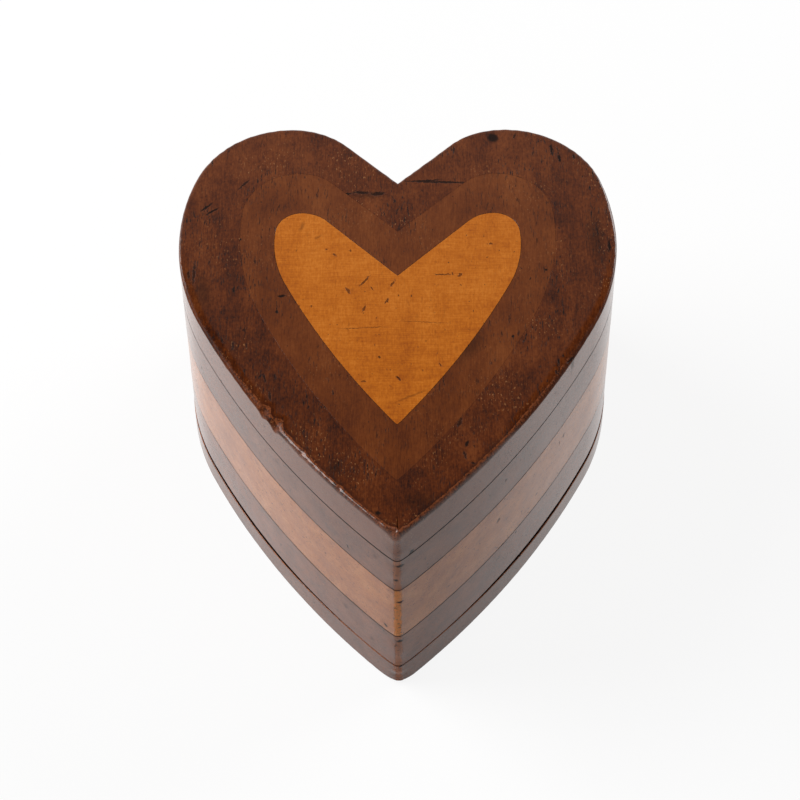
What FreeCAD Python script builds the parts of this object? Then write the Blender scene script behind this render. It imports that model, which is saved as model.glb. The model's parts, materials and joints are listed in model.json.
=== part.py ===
import FreeCAD, Part
import math
import os
import re

import Sketcher

# A heart-shaped wooden music box with a hinged lid, a loose tray panel and a wind-up cylinder movement.
# Millimetres, +Z up, +Y towards the hinges, the point of the heart towards -Y.

os.makedirs("parts", exist_ok=True)
DOC = FreeCAD.newDocument("music_box")
SHEET = DOC.addObject("Spreadsheet::Sheet", "Sizes")

# Driving dimensions
SIZES = {
    # Outline of the case: one half is three tangent arcs from the lobe top to the point,
    # and one arc with a straight run from the lobe top to the cleft.
    "case_width": 150.0,
    "case_length": 172.5,
    "case_lobe_radius": 35.0,
    "case_shoulder_radius": 80.0,
    "case_inner_radius": 28.0,
    "case_cleft_depth": 24.8,
    "case_lobe_turn": 70.0,
    "case_shoulder_turn": 117.0,
    "case_nose": 2.5,
    # Outline of the middle heart in the lid
    "band_width": 108.3,
    "band_length": 129.8,
    "band_lobe_radius": 19.7,
    "band_shoulder_radius": 84.0,
    "band_inner_radius": 16.4,
    "band_cleft_depth": 26.0,
    "band_lobe_turn": 84.0,
    "band_shoulder_turn": 115.6,
    "band_nose": 0.8,
    "band_setback": 20.7,
    # Outline of the pale heart in the lid
    "heart_width": 84.6,
    "heart_length": 90.0,
    "heart_lobe_radius": 9.0,
    "heart_shoulder_radius": 42.0,
    "heart_inner_radius": 12.4,
    "heart_cleft_depth": 27.5,
    "heart_lobe_turn": 83.0,
    "heart_shoulder_turn": 116.0,
    "heart_nose": 0.8,
    "heart_setback": 38.5,
    # Boards of the case, from the table up
    "base_thickness": 11.4,
    "lower_ring_height": 19.4,
    "light_ring_height": 29.0,
    "upper_ring_height": 17.8,
    "lid_thickness": 15.4,
    "lid_edge_radius": 0.8,
    "inlay_depth": 3.0,
    "wall": 11.0,
    "cavity_nose": 6.0,
    "base_rim": 4.0,
    "base_rim_gap": 0.9,
    "lining_thickness": 1.0,
    "lining_inset": 13.0,
    # Base screws
    "base_screw_radius": 1.6,
    "base_screw_head_radius": 3.2,
    "base_screw_head_height": 2.0,
    "base_screw_sunk": 0.6,
    "base_screw_bite": 9.0,
    "screw_clearance": 0.1,
    # Stop hinges
    "hinge_length": 22.0,
    "hinge_leaf_depth": 9.0,
    "hinge_leaf_thickness": 1.0,
    "hinge_barrel_radius": 2.0,
    "hinge_pin_radius": 0.8,
    "hinge_standoff": 2.3,
    "hinge_tail_reach": 5.0,
    "hinge_running_gap": 0.12,
    "hinge_screw_radius": 1.0,
    "hinge_screw_head_radius": 2.0,
    "hinge_screw_length": 8.0,
    "lid_opening": 95.0,
    "lid_stop_gap": 0.2,
    "pin_clearance": 0.02,
    # Tray panel over the movement
    "panel_height": 46.0,
    "panel_thickness": 4.0,
    "panel_clearance": 0.3,
    "felt_thickness": 1.0,
    "glass_thickness": 2.0,
    "glass_clearance": 0.2,
    "glass_rebate": 3.0,
    "window_width": 62.0,
    "window_depth": 38.0,
    "window_middle": 4.0,
    "pillar_radius": 4.0,
    "pillar_waist": 2.8,
    "pillar_collar": 3.0,
    # Movement frame
    "movement_y": 2.0,
    "barrel_x": -24.0,
    "bedplate_thickness": 2.5,
    "bedplate_left": 43.0,
    "bedplate_right": 16.75,
    "bedplate_front": 34.0,
    "bedplate_back": 37.0,
    "bedplate_shoulder": 14.0,
    "bedplate_screw_inset": 4.5,
    "movement_screw_radius": 1.5,
    "movement_screw_head_radius": 2.9,
    "movement_screw_head_height": 2.0,
    "axis_height": 14.5,
    "plate_thickness": 1.5,
    "foot_thickness": 1.5,
    "foot_length": 6.0,
    "frame_foot": 8.0,
    "bearing_width": 10.0,
    "bearing_cap": 4.0,
    "plate_margin": 3.5,
    "frame_screw_radius": 0.9,
    "frame_screw_head_radius": 1.6,
    "frame_screw_head_height": 0.8,
    "running_clearance": 0.05,
    "side_play": 0.4,
    # Toothed wheels
    "tooth_module": 0.5,
    "tooth_share": 0.42,
    "tooth_addendum": 0.8,
    "tooth_dedendum": 1.1,
    "crown_teeth": 45.0,
    "crown_face": 1.5,
    "crown_tooth_share": 0.36,
    "cylinder_pinion_teeth": 18.0,
    "cylinder_wheel_teeth": 36.0,
    "first_pinion_teeth": 12.0,
    "first_wheel_teeth": 30.0,
    "second_pinion_teeth": 12.0,
    "worm_wheel_teeth": 24.0,
    "wheel_thickness": 1.5,
    "pinion_face": 2.0,
    "web_rim": 2.6,
    "web_window": 0.36,
    "web_window_count": 5.0,
    "first_arbor_angle": -20.0,
    "second_arbor_angle": 30.0,
    "arbor_radius": 0.8,
    # Spring barrel, mainspring and winder
    "barrel_floor": 1.2,
    "barrel_lift": 0.8,
    "barrel_wall": 1.5,
    "barrel_cover_thickness": 1.2,
    "spring_thickness": 0.35,
    "spring_turns": 5.0,
    "spring_side_gap": 0.3,
    "winder_radius": 2.0,
    "winder_hub_radius": 3.2,
    "winder_end": 0.8,
    "bush_radius": 4.0,
    "bush_flange_radius": 5.5,
    "bush_flange_thickness": 1.0,
    "key_hole_radius": 16.5,
    "key_thickness": 1.8,
    "key_wing_reach": 14.0,
    "key_wing_radius": 4.4,
    "key_wing_hole": 2.2,
    "key_boss_radius": 3.6,
    "key_table_gap": 1.0,
    "key_boss_gap": 0.8,
    "key_bar_height": 4.0,
    # Music cylinder and comb
    "cylinder_radius": 6.5,
    "cylinder_length": 22.0,
    "cylinder_arbor_radius": 1.5,
    "pin_height": 0.6,
    "pin_width": 0.45,
    "pin_rows": 3.0,
    "pin_note_count": 5.0,
    "pin_row_count": 7.0,
    "comb_teeth": 18.0,
    "comb_slot": 0.4,
    "comb_thickness": 0.9,
    "comb_tip_gap": 0.15,
    "comb_treble_length": 9.0,
    "comb_bass_length": 16.0,
    "comb_heel": 9.0,
    "comb_margin": 3.0,
    "comb_screw_radius": 1.2,
    "comb_screw_head_radius": 2.1,
    "comb_screw_head_height": 1.2,
    "comb_screw_length": 6.0,
    "comb_screw_inset": 5.6,
    "weight_length": 3.0,
    "weight_height": 1.8,
    "weight_count": 6.0,
    "weight_setback": 0.8,
    # Endless screw, fly and its cock
    "worm_starts": 3.0,
    "worm_pitch_radius": 1.8,
    "worm_length": 8.0,
    "worm_turn_steps": 12.0,
    "fly_arbor_radius": 0.7,
    "fly_disc_radius": 2.6,
    "fly_disc_thickness": 0.6,
    "fly_disc_height": 8.5,
    "fly_span": 9.0,
    "fly_height": 3.4,
    "fly_thickness": 0.3,
    "fly_gap": 0.3,
    "cock_thickness": 1.2,
    "cock_width": 6.0,
    "cock_room": 1.0,
    "fly_hub_radius": 1.1,
    "pivot_lift": 1.0,
    # Lid-worked stop
    "lever_thickness": 1.2,
    "lever_width": 4.0,
    "lever_arm": 9.5,
    "lever_pivot_radius": 1.0,
    "lever_boss_radius": 1.9,
    "lever_tip_gap": 0.5,
    "lever_overhang": 2.0,
    "bracket_half": 2.5,
    "pad_length": 2.2,
    "pad_thickness": 0.8,
    "pad_gap": 0.08,
    "plunger_arm": 8.0,
    "plunger_radius": 1.5,
    "plunger_button_radius": 3.0,
    "plunger_button_height": 1.6,
    "plunger_gap": 0.1,
    "guide_wall": 1.6,
    "guide_length": 8.0,
    "guide_flange_radius": 5.0,
    "guide_flange_thickness": 1.2,
    "striker_radius": 4.0,
}

# Sizes worked out from the driving ones
DERIVED = {
    "light_ring_z": "base_thickness + lower_ring_height",
    "upper_ring_z": "light_ring_z + light_ring_height",
    "lid_z": "upper_ring_z + upper_ring_height",
    "top_z": "lid_z + lid_thickness",
    "felt_z": "panel_height + panel_thickness",
    "plate_z": "base_thickness + bedplate_thickness",
    "axis_z": "plate_z + axis_height",
    "crown_radius": "tooth_module * crown_teeth / 2",
    "cylinder_pinion_radius": "tooth_module * cylinder_pinion_teeth / 2",
    "cylinder_wheel_radius": "tooth_module * cylinder_wheel_teeth / 2",
    "first_pinion_radius": "tooth_module * first_pinion_teeth / 2",
    "first_wheel_radius": "tooth_module * first_wheel_teeth / 2",
    "second_pinion_radius": "tooth_module * second_pinion_teeth / 2",
    "worm_wheel_radius": "tooth_module * worm_wheel_teeth / 2",
    "barrel_radius": "crown_radius + crown_face / 2",
    "barrel_z": "plate_z + barrel_lift",
    "crown_pitch_z": "axis_z - cylinder_pinion_radius",
    "crown_tip_z": "crown_pitch_z + tooth_module * tooth_addendum",
    "crown_root_z": "crown_pitch_z - tooth_module * tooth_dedendum",
    "barrel_inner_radius": "barrel_radius - barrel_wall",
    "barrel_cover_z": "crown_root_z - barrel_cover_thickness",
    "spring_z": "barrel_z + barrel_floor + spring_side_gap",
    "spring_height": "barrel_cover_z - spring_side_gap - spring_z",
    "winder_top_z": "crown_root_z + winder_end",
    "pinion_x": "barrel_x + crown_radius - pinion_face / 2",
    "left_bearing_x": "barrel_x + barrel_radius + side_play + plate_thickness / 2",
    "cylinder_x": "left_bearing_x + plate_thickness / 2 + side_play",
    "cylinder_wheel_x": "cylinder_x + cylinder_length + side_play",
    "inner_plate_x": "cylinder_wheel_x + wheel_thickness + 2 * side_play + plate_thickness / 2",
    "first_wheel_x": "inner_plate_x + plate_thickness / 2 + 2 * side_play",
    "worm_wheel_x": "first_wheel_x + pinion_face + 3 * side_play",
    "outer_plate_x": "worm_wheel_x + wheel_thickness + 2 * side_play + plate_thickness / 2",
    "first_reach": "cylinder_wheel_radius + first_pinion_radius",
    "second_reach": "first_wheel_radius + second_pinion_radius",
    "first_y": "movement_y + first_reach * cos(first_arbor_angle)",
    "first_z": "axis_z + first_reach * sin(first_arbor_angle)",
    "second_y": "first_y + second_reach * cos(second_arbor_angle)",
    "second_z": "first_z + second_reach * sin(second_arbor_angle)",
    "fly_x": "worm_wheel_x + wheel_thickness / 2",
    "bedplate_right_x": "fly_x + bedplate_right",
    "fly_y": "second_y + worm_wheel_radius + worm_pitch_radius",
    "worm_z": "second_z - worm_length / 2",
    "worm_top_z": "second_z + worm_length / 2",
    "vane_z": "second_z + worm_wheel_radius + tooth_module * tooth_addendum + fly_gap",
    "cock_z": "vane_z + fly_height + fly_gap",
    "cock_post_y": "fly_y + fly_span / 2 + cock_room",
    "disc_z": "plate_z + fly_disc_height",
    "lever_z": "disc_z - pad_gap - pad_thickness - lever_thickness / 2",
    "lever_top_z": "lever_z + lever_thickness / 2",
    "lever_pivot_x": "fly_x + lever_arm",
    "plunger_x": "lever_pivot_x + plunger_arm",
    "plunger_top_z": "lid_z - plunger_gap",
    "plunger_low_z": "lever_top_z + plunger_gap",
    "guide_z": "panel_height + panel_thickness + felt_thickness",
    "key_mid_z": "key_table_gap + key_wing_radius",
    "comb_tip_y": "movement_y - cylinder_radius - pin_height - comb_tip_gap",
    "comb_root_y": "comb_tip_y - comb_bass_length",
    "comb_back_y": "comb_root_y - comb_heel",
    "comb_z": "axis_z - comb_thickness / 2",
    "comb_left": "cylinder_x - comb_margin",
    "comb_width": "cylinder_length + 2 * comb_margin",
    "note_pitch": "cylinder_length / comb_teeth",
    "window_half_width": "window_width / 2",
    "base_screw_z": "base_screw_sunk + base_screw_head_height",
}

WORD = re.compile(r"[a-z][a-z0-9_]*")


def formula(text):
    """Turn a formula in size names into an expression on the sheet."""
    def swap(match):
        word = match.group(0)
        if word in DERIVED:
            return "(" + formula(DERIVED[word]) + ")"
        if word in SIZES:
            return "Sizes." + word
        return word
    return WORD.sub(swap, text)


KNOWN = {}


def value(text):
    """The present number of a formula in size names."""
    if text not in KNOWN:
        KNOWN[text] = float(SHEET.evalExpression(formula(text)))
    return KNOWN[text]


def count(name):
    """A size that is a whole number."""
    return int(round(value(name)))


def fill_sheet():
    """Write every driving dimension into the sheet, one named cell each."""
    for row, (alias, number) in enumerate(SIZES.items(), start=1):
        SHEET.set(f"A{row}", alias)
        SHEET.set(f"B{row}", str(number))
        SHEET.setAlias(f"B{row}", alias)
    DOC.recompute()


fill_sheet()

NODES = []
CUT_CHECKS = []


def node(item, label):
    """Name a finished sub-part."""
    item.Label = label
    NODES.append(item)
    return item


# Small modelling helpers

def bind(item, **formulas):
    """Tie properties of an object to the sheet."""
    for name, text in formulas.items():
        item.setExpression(name, formula(text))


def set_place(item, x, y, z, turn=None):
    """Tie an object's position to the sheet, with an optional fixed turn (axis, degrees)."""
    if turn is not None:
        axis, degrees = turn
        item.Placement = FreeCAD.Placement(FreeCAD.Vector(), FreeCAD.Rotation(FreeCAD.Vector(*axis), degrees))
    for letter, text in zip("xyz", (x, y, z)):
        item.setExpression(f"Placement.Base.{letter}", formula(text))
    return item


ALONG_X = ((0, 1, 0), 90)
ALONG_Y = ((1, 0, 0), -90)


def rod(radius, length, x, y, z, turn=None):
    """A round bar that starts at a point and runs along +Z, or along +X or +Y with a turn."""
    item = DOC.addObject("Part::Cylinder", "rod")
    bind(item, Radius=radius, Height=length)
    return set_place(item, x, y, z, turn)


def block(size_x, size_y, size_z, x, y, z):
    """A rectangular block from its lowest corner."""
    item = DOC.addObject("Part::Box", "block")
    bind(item, Length=size_x, Width=size_y, Height=size_z)
    return set_place(item, x, y, z)


def cone(low_radius, high_radius, height, x, y, z):
    """A round taper standing on a point."""
    item = DOC.addObject("Part::Cone", "taper")
    bind(item, Radius1=low_radius, Radius2=high_radius, Height=height)
    return set_place(item, x, y, z)


def fuse(pieces):
    """Join pieces into one."""
    item = DOC.addObject("Part::MultiFuse", "joined")
    item.Shapes = list(pieces)
    return item


def cut(base, tools):
    """Take tools away from a piece."""
    item = DOC.addObject("Part::Cut", "cut")
    item.Base = base
    item.Tool = tools[0] if len(tools) == 1 else fuse(tools)
    return item


def group(pieces):
    """Like pieces that share one node."""
    item = DOC.addObject("Part::Compound", "group")
    item.Links = list(pieces)
    return item


def coded(shape):
    """A piece whose shape is worked out here from the sheet's values."""
    item = DOC.addObject("Part::Feature", "coded")
    item.Shape = shape
    item.Placement = FreeCAD.Placement()
    return item


def new_body(label):
    """An empty body named for its node."""
    return node(DOC.addObject("PartDesign::Body", label), label)


def new_sketch(body, role, lift="0"):
    """A sketch on one of a body's origin planes, lifted along the plane's normal."""
    plane = next(item for item in body.Origin.OriginFeatures if item.Role == role)
    sketch = body.newObject("Sketcher::SketchObject", body.Name + "_sketch")
    sketch.AttachmentSupport = (plane, [""])
    sketch.MapMode = "FlatFace"
    sketch.setExpression("AttachmentOffset.Base.z", formula(lift))
    return sketch


ORIGIN_POINT = (-1, 1)
# A sketch numbers the points of a curve in this order.
CURVE_POINTS = ("edge", "start", "end", "centre")
CENTRE = CURVE_POINTS.index("centre")


def pin_point(sketch, geometry, point, x, y):
    """Dimension one point of a sketch from the origin, both ways."""
    for kind, text in (("DistanceX", x), ("DistanceY", y)):
        index = sketch.addConstraint(
            Sketcher.Constraint(kind, *ORIGIN_POINT, geometry, point, value(text)))
        sketch.setExpression(f"Constraints[{index}]", formula(text))


def draw_circle(sketch, x, y, radius):
    """A dimensioned circle."""
    centre = FreeCAD.Vector(value(x), value(y), 0)
    circle = sketch.addGeometry(Part.Circle(centre, FreeCAD.Vector(0, 0, 1), value(radius)))
    index = sketch.addConstraint(Sketcher.Constraint("Radius", circle, value(radius)))
    sketch.setExpression(f"Constraints[{index}]", formula(radius))
    pin_point(sketch, circle, CENTRE, x, y)


def draw_polygon(sketch, corners):
    """A dimensioned closed polygon from (x, y) formulas."""
    points = [FreeCAD.Vector(value(x), value(y), 0) for x, y in corners]
    lines = []
    for start, end in zip(points, points[1:] + points[:1]):
        lines.append(sketch.addGeometry(Part.LineSegment(start, end)))
    for line, following in zip(lines, lines[1:] + lines[:1]):
        sketch.addConstraint(Sketcher.Constraint("Coincident", line, 2, following, 1))
    for line, (x, y) in zip(lines, corners):
        pin_point(sketch, line, 1, x, y)


def draw_box(sketch, x0, y0, x1, y1):
    """A dimensioned rectangle."""
    draw_polygon(sketch, [(x0, y0), (x1, y0), (x1, y1), (x0, y1)])


def draw_edges(sketch, edges):
    """A closed run of lines and arcs, joined end to end where their ends meet."""
    numbers = [sketch.addGeometry(edge) for edge in edges]
    for number, following in zip(numbers, numbers[1:] + numbers[:1]):
        pairs = [(end, start) for end in (1, 2) for start in (1, 2)]
        end, start = min(pairs, key=lambda pair: sketch.getPoint(number, pair[0]).distanceToPoint(
            sketch.getPoint(following, pair[1])))
        sketch.addConstraint(Sketcher.Constraint("Coincident", number, end, following, start))


def pad(body, sketch, length, downwards=False):
    """Raise a sketch into a solid."""
    feature = body.newObject("PartDesign::Pad", "Pad")
    feature.Profile = sketch
    feature.Reversed = downwards
    bind(feature, Length=length)
    return feature


def pocket(body, sketch, depth=None, upwards=False):
    """Cut a sketch out of a body, to a depth or right through."""
    DOC.recompute()
    before = body.Shape.Volume
    feature = body.newObject("PartDesign::Pocket", "Pocket")
    feature.Profile = sketch
    if depth is None:
        feature.Type = "ThroughAll"
        feature.Midplane = True
    else:
        feature.Reversed = upwards
        bind(feature, Length=depth)
    DOC.recompute()
    CUT_CHECKS.append((body.Name, before - body.Shape.Volume))
    return feature


# The heart outline

def unit(degrees):
    """The unit vector at an angle from +X."""
    return FreeCAD.Vector(math.cos(math.radians(degrees)), math.sin(math.radians(degrees)), 0)


class Heart:
    """One half of a heart as tangent arcs, with its lobe tops on y = 0 and its point at -length."""

    def __init__(self, prefix):
        def size(name):
            return value(f"{prefix}_{name}")
        self.lobe_end = 90 - size("lobe_turn")
        self.shoulder_end = 90 - size("shoulder_turn")
        self.lobe_radius = size("lobe_radius")
        self.shoulder_radius = size("shoulder_radius")
        self.inner_radius = size("inner_radius")
        self.nose = size("nose")
        # The lobe lies where the shoulder arc just reaches half the width.
        lean = math.cos(math.radians(self.lobe_end))
        offset = size("width") / 2 - self.lobe_radius * lean - self.shoulder_radius * (1 - lean)
        self.lobe_centre = FreeCAD.Vector(offset, -self.lobe_radius, 0)
        self.inner_centre = FreeCAD.Vector(offset, -self.inner_radius, 0)
        step = self.lobe_radius - self.shoulder_radius
        self.shoulder_centre = self.lobe_centre + unit(self.lobe_end) * step
        # The flank arc leaves the shoulder without a kink and passes through the point.
        outward = unit(self.shoulder_end)
        start = self.shoulder_centre + outward * self.shoulder_radius
        chord = FreeCAD.Vector(0, -size("length"), 0) - start
        self.flank_radius = chord.dot(chord) / (-2 * chord.dot(outward))
        self.flank_centre = start - outward * self.flank_radius
        # The straight run into the cleft touches the inner arc: a quadratic in the half-turn's tangent.
        depth = size("cleft_depth")
        square = depth - 2 * self.inner_radius
        root = math.sqrt(offset * offset + square * depth)
        half_tangent = depth / (offset + root)
        self.cleft_turn = math.degrees(2 * math.atan(half_tangent))
        self.cleft_depth = depth

    def nose_centre(self, inset, nose):
        """Centre of the arc that rounds the point, on the middle line."""
        reach = self.flank_radius - inset - nose
        return FreeCAD.Vector(0, self.flank_centre.y - math.sqrt(reach ** 2 - self.flank_centre.x ** 2), 0)

    def point_y(self, inset=0.0, nose=None):
        """Lowest y of the outline."""
        nose = self.nose if nose is None else nose
        return self.nose_centre(inset, nose).y - nose

    def on_lobe(self, degrees, inset):
        """A point on the lobe arc, moved inwards."""
        return self.lobe_centre + unit(degrees) * (self.lobe_radius - inset)

    def on_shoulder(self, degrees, inset):
        """A point on the shoulder arc, moved inwards."""
        return self.shoulder_centre + unit(degrees) * (self.shoulder_radius - inset)

    def on_flank(self, degrees, inset):
        """A point on the flank arc, moved inwards."""
        return self.flank_centre + unit(degrees) * (self.flank_radius - inset)

    def edges(self, shift_y, inset=0.0, nose=None):
        """The whole outline as lines and arcs, moved inwards by an inset."""
        nose = self.nose if nose is None else nose
        cleft = FreeCAD.Vector(0, -self.cleft_depth - inset / math.cos(math.radians(self.cleft_turn)), 0)
        inner_end = 90 + self.cleft_turn
        inner = self.inner_centre
        inner_radius = self.inner_radius - inset
        nose_middle = self.nose_centre(inset, nose)
        ray = nose_middle - self.flank_centre
        flank_end = math.degrees(math.atan2(ray.y, ray.x))
        runs = [
            (inner, inner_radius, inner_end, 90),
            (self.lobe_centre, self.lobe_radius - inset, 90, self.lobe_end),
            (self.shoulder_centre, self.shoulder_radius - inset, self.lobe_end, self.shoulder_end),
            (self.flank_centre, self.flank_radius - inset, self.shoulder_end, flank_end),
        ]
        arcs = []
        for centre, radius, first, last in runs:
            arcs.append([centre + unit(first + (last - first) * share) * radius for share in (0, 0.5, 1)])
        right = [[cleft, arcs[0][0]]] + arcs
        nose_end = arcs[-1][2]
        mirror = [[FreeCAD.Vector(-p.x, p.y, 0) for p in reversed(run)] for run in reversed(right)]
        low = nose_middle + FreeCAD.Vector(0, -nose, 0)
        tip = [[nose_end, low, FreeCAD.Vector(-nose_end.x, nose_end.y, 0)]]
        shift = FreeCAD.Vector(0, shift_y, 0)
        curves = []
        for run in right + tip + mirror:
            points = [p + shift for p in run]
            curves.append(Part.LineSegment(*points) if len(points) == 2 else Part.Arc(*points))
        return curves


CASE = Heart("case")
BAND = Heart("band")
PALE = Heart("heart")

STOP_HALF = value("lid_opening") / 2 + value("lid_stop_gap") / 2
HINGE_REACH = max(value("hinge_barrel_radius"),
                  value("hinge_tail_reach") * math.cos(math.radians(STOP_HALF)))
HINGE_BACK = value("hinge_standoff") + HINGE_REACH
# The origin is under the middle of the whole box, hinges included.
LOBE_Y = -(CASE.point_y() + HINGE_BACK) / 2
HINGE_Y = LOBE_Y + value("hinge_standoff")
BAND_Y = LOBE_Y - value("band_setback")
PALE_Y = LOBE_Y - value("heart_setback")
HINGE_X = CASE.lobe_centre.x

CAVITY_INSET = value("wall")
CAVITY_NOSE = value("cavity_nose")


def mirrored_pairs(points):
    """Each point of the right half with its twin on the left."""
    places = []
    for point in points:
        places.append((point.x, point.y + LOBE_Y))
        places.append((-point.x, point.y + LOBE_Y))
    return places


WALL_MIDDLE = CAVITY_INSET / 2
FLANK_SCREW_ANGLE = -38
BASE_SCREWS = mirrored_pairs([
    CASE.on_lobe(90, WALL_MIDDLE),
    CASE.on_shoulder(0, WALL_MIDDLE),
    CASE.on_flank(FLANK_SCREW_ANGLE, WALL_MIDDLE),
])


def as_formula(number):
    """A worked-out position as text for a formula."""
    return f"{number:.6f}"


# Wooden case

def draw_heart(sketch, heart, shift_y, inset=0.0, nose=None):
    """Draw a heart outline in a flat sketch."""
    draw_edges(sketch, heart.edges(shift_y, inset, nose))


def drill(body, places, radius, lift, depth=None, upwards=False):
    """Round holes at several places."""
    sketch = new_sketch(body, "XY_Plane", lift)
    for x, y in places:
        draw_circle(sketch, x, y, radius)
    pocket(body, sketch, depth, upwards)


def as_text(places):
    """Number pairs as formula pairs."""
    return [(as_formula(x), as_formula(y)) for x, y in places]


MOVEMENT_SCREWS = [
    ("bedplate_screw_inset - bedplate_left", "movement_y + bedplate_back - bedplate_screw_inset"),
    ("bedplate_right_x - bedplate_screw_inset", "movement_y + bedplate_back - bedplate_screw_inset"),
    ("comb_left", "movement_y - bedplate_front + bedplate_screw_inset"),
    ("comb_left + comb_width", "movement_y - bedplate_front + bedplate_screw_inset"),
]


def make_base():
    """Base board: its rim drops away towards the lobes, so a thin open joint shows under the ring."""
    body = new_body("base_board")
    outline = new_sketch(body, "XY_Plane")
    draw_heart(outline, CASE, LOBE_Y)
    pad(body, outline, "base_thickness")
    wedge = new_sketch(body, "YZ_Plane")
    tip_y = as_formula(CASE.point_y() + LOBE_Y)
    back_y = as_formula(LOBE_Y)
    draw_polygon(wedge, [(tip_y, "base_thickness"), (back_y, "base_thickness"),
                         (back_y, "base_thickness - base_rim_gap")])
    pocket(body, wedge)
    seat = new_sketch(body, "XY_Plane", "base_thickness")
    draw_heart(seat, CASE, LOBE_Y, value("base_rim"), CASE.nose)
    pad(body, seat, "base_rim_gap", downwards=True)
    drill(body, [("barrel_x", "movement_y")], "key_hole_radius", "0")
    drill(body, as_text(BASE_SCREWS), "base_screw_radius + screw_clearance", "0")
    drill(body, as_text(BASE_SCREWS), "base_screw_head_radius + screw_clearance", "0", "base_screw_z", True)
    drill(body, MOVEMENT_SCREWS, "movement_screw_radius + screw_clearance", "0")
    drill(body, MOVEMENT_SCREWS, "movement_screw_head_radius + screw_clearance", "0",
          "base_screw_sunk + movement_screw_head_height", True)


def make_ring(label, lift, height):
    """One sawn heart ring of the wall."""
    body = new_body(label)
    outline = new_sketch(body, "XY_Plane", lift)
    draw_heart(outline, CASE, LOBE_Y)
    draw_heart(outline, CASE, LOBE_Y, CAVITY_INSET, CAVITY_NOSE)
    pad(body, outline, height)
    return body


def make_rings():
    """Dark, light and dark rings, glued in a stack on the base."""
    lower = make_ring("lower_ring", "base_thickness", "lower_ring_height")
    drill(lower, as_text(BASE_SCREWS), "base_screw_radius + screw_clearance", "base_thickness",
          "base_screw_bite + screw_clearance", True)
    make_ring("light_ring", "light_ring_z", "light_ring_height")
    upper = make_ring("upper_ring", "upper_ring_z", "upper_ring_height")
    mortise = new_sketch(upper, "XY_Plane", "lid_z")
    for side in (-1, 1):
        draw_leaf(mortise, side)
    pocket(upper, mortise, "hinge_leaf_thickness")
    drill(upper, as_text(hinge_screw_places()), "hinge_screw_radius + screw_clearance", "lid_z",
          "hinge_screw_length + screw_clearance")


def make_base_screws():
    """Wood screws from below, through the base into the lowest ring."""
    screws = []
    for x, y in as_text(BASE_SCREWS):
        head = rod("base_screw_head_radius", "base_screw_head_height", x, y, "base_screw_sunk")
        reach = "base_thickness - base_screw_z + base_screw_bite"
        shank = rod("base_screw_radius", reach, x, y, "base_screw_z")
        screws.append(fuse([head, shank]))
    node(group(screws), "base_screws")


# Lid

def make_lid():
    """Lid board with inlay pockets above and seats for the lining and hinges below."""
    body = new_body("lid_board")
    outline = new_sketch(body, "XY_Plane", "lid_z")
    draw_heart(outline, CASE, LOBE_Y)
    slab = pad(body, outline, "lid_thickness")
    DOC.recompute()
    top = value("top_z")
    rim = []
    for index, edge in enumerate(slab.Shape.Edges, start=1):
        if edge.BoundBox.ZMin > top - 1e-6:
            rim.append(f"Edge{index}")
    softened = body.newObject("PartDesign::Fillet", "Fillet")
    softened.Base = (slab, rim)
    bind(softened, Radius="lid_edge_radius")
    inlay = new_sketch(body, "XY_Plane", "top_z")
    draw_heart(inlay, BAND, BAND_Y)
    pocket(body, inlay, "inlay_depth")
    lining = new_sketch(body, "XY_Plane", "lid_z")
    draw_heart(lining, CASE, LOBE_Y, value("lining_inset"), CAVITY_NOSE)
    pocket(body, lining, "lining_thickness", upwards=True)
    mortise = new_sketch(body, "XY_Plane", "lid_z")
    for side in (-1, 1):
        draw_leaf(mortise, side)
    pocket(body, mortise, "hinge_leaf_thickness", upwards=True)
    drill(body, as_text(hinge_screw_places()), "hinge_screw_radius + screw_clearance", "lid_z",
          "hinge_screw_length + screw_clearance", True)

    band = new_body("lid_band_inlay")
    outline = new_sketch(band, "XY_Plane", "top_z - inlay_depth")
    draw_heart(outline, BAND, BAND_Y)
    draw_heart(outline, PALE, PALE_Y)
    pad(band, outline, "inlay_depth")

    pale = new_body("lid_heart_inlay")
    outline = new_sketch(pale, "XY_Plane", "top_z - inlay_depth")
    draw_heart(outline, PALE, PALE_Y)
    pad(pale, outline, "inlay_depth")

    lining = new_body("lid_lining")
    outline = new_sketch(lining, "XY_Plane", "lid_z")
    draw_heart(outline, CASE, LOBE_Y, value("lining_inset"), CAVITY_NOSE)
    draw_circle(outline, "plunger_x", "fly_y", "striker_radius")
    pad(lining, outline, "lining_thickness")
    node(rod("striker_radius", "lining_thickness", "plunger_x", "fly_y", "lid_z"), "stop_striker")


# Stop hinges

def draw_leaf(sketch, side):
    """Plan of one let-in hinge leaf."""
    middle = as_formula(side * HINGE_X)
    draw_box(sketch, f"{middle} - hinge_length / 2", as_formula(HINGE_Y) + " - hinge_leaf_depth",
             f"{middle} + hinge_length / 2", as_formula(HINGE_Y))


def hinge_screw_places():
    """Two screws in each leaf."""
    spread = value("hinge_length") / 4
    row = HINGE_Y - value("hinge_leaf_depth") + 2 * value("hinge_screw_head_radius")
    return [(side * HINGE_X + spread * end, row) for side in (-1, 1) for end in (-1, 1)]


def hinge_tail(side, up):
    """Wedge behind the barrel, whose bevel meets its twin when the lid is fully open."""
    reach = value("hinge_tail_reach")
    first, last = (STOP_HALF, 90) if up else (-90, -STOP_HALF)
    corners = [FreeCAD.Vector()]
    for degrees in (first, last):
        ray = unit(degrees) * reach
        corners.append(FreeCAD.Vector(0, ray.x, ray.y))
    start = FreeCAD.Vector(side * HINGE_X - value("hinge_length") / 2, HINGE_Y, value("lid_z"))
    wire = Part.makePolygon([corner + start for corner in corners + corners[:1]])
    return coded(Part.Face(wire).extrude(FreeCAD.Vector(value("hinge_length"), 0, 0)))


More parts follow.
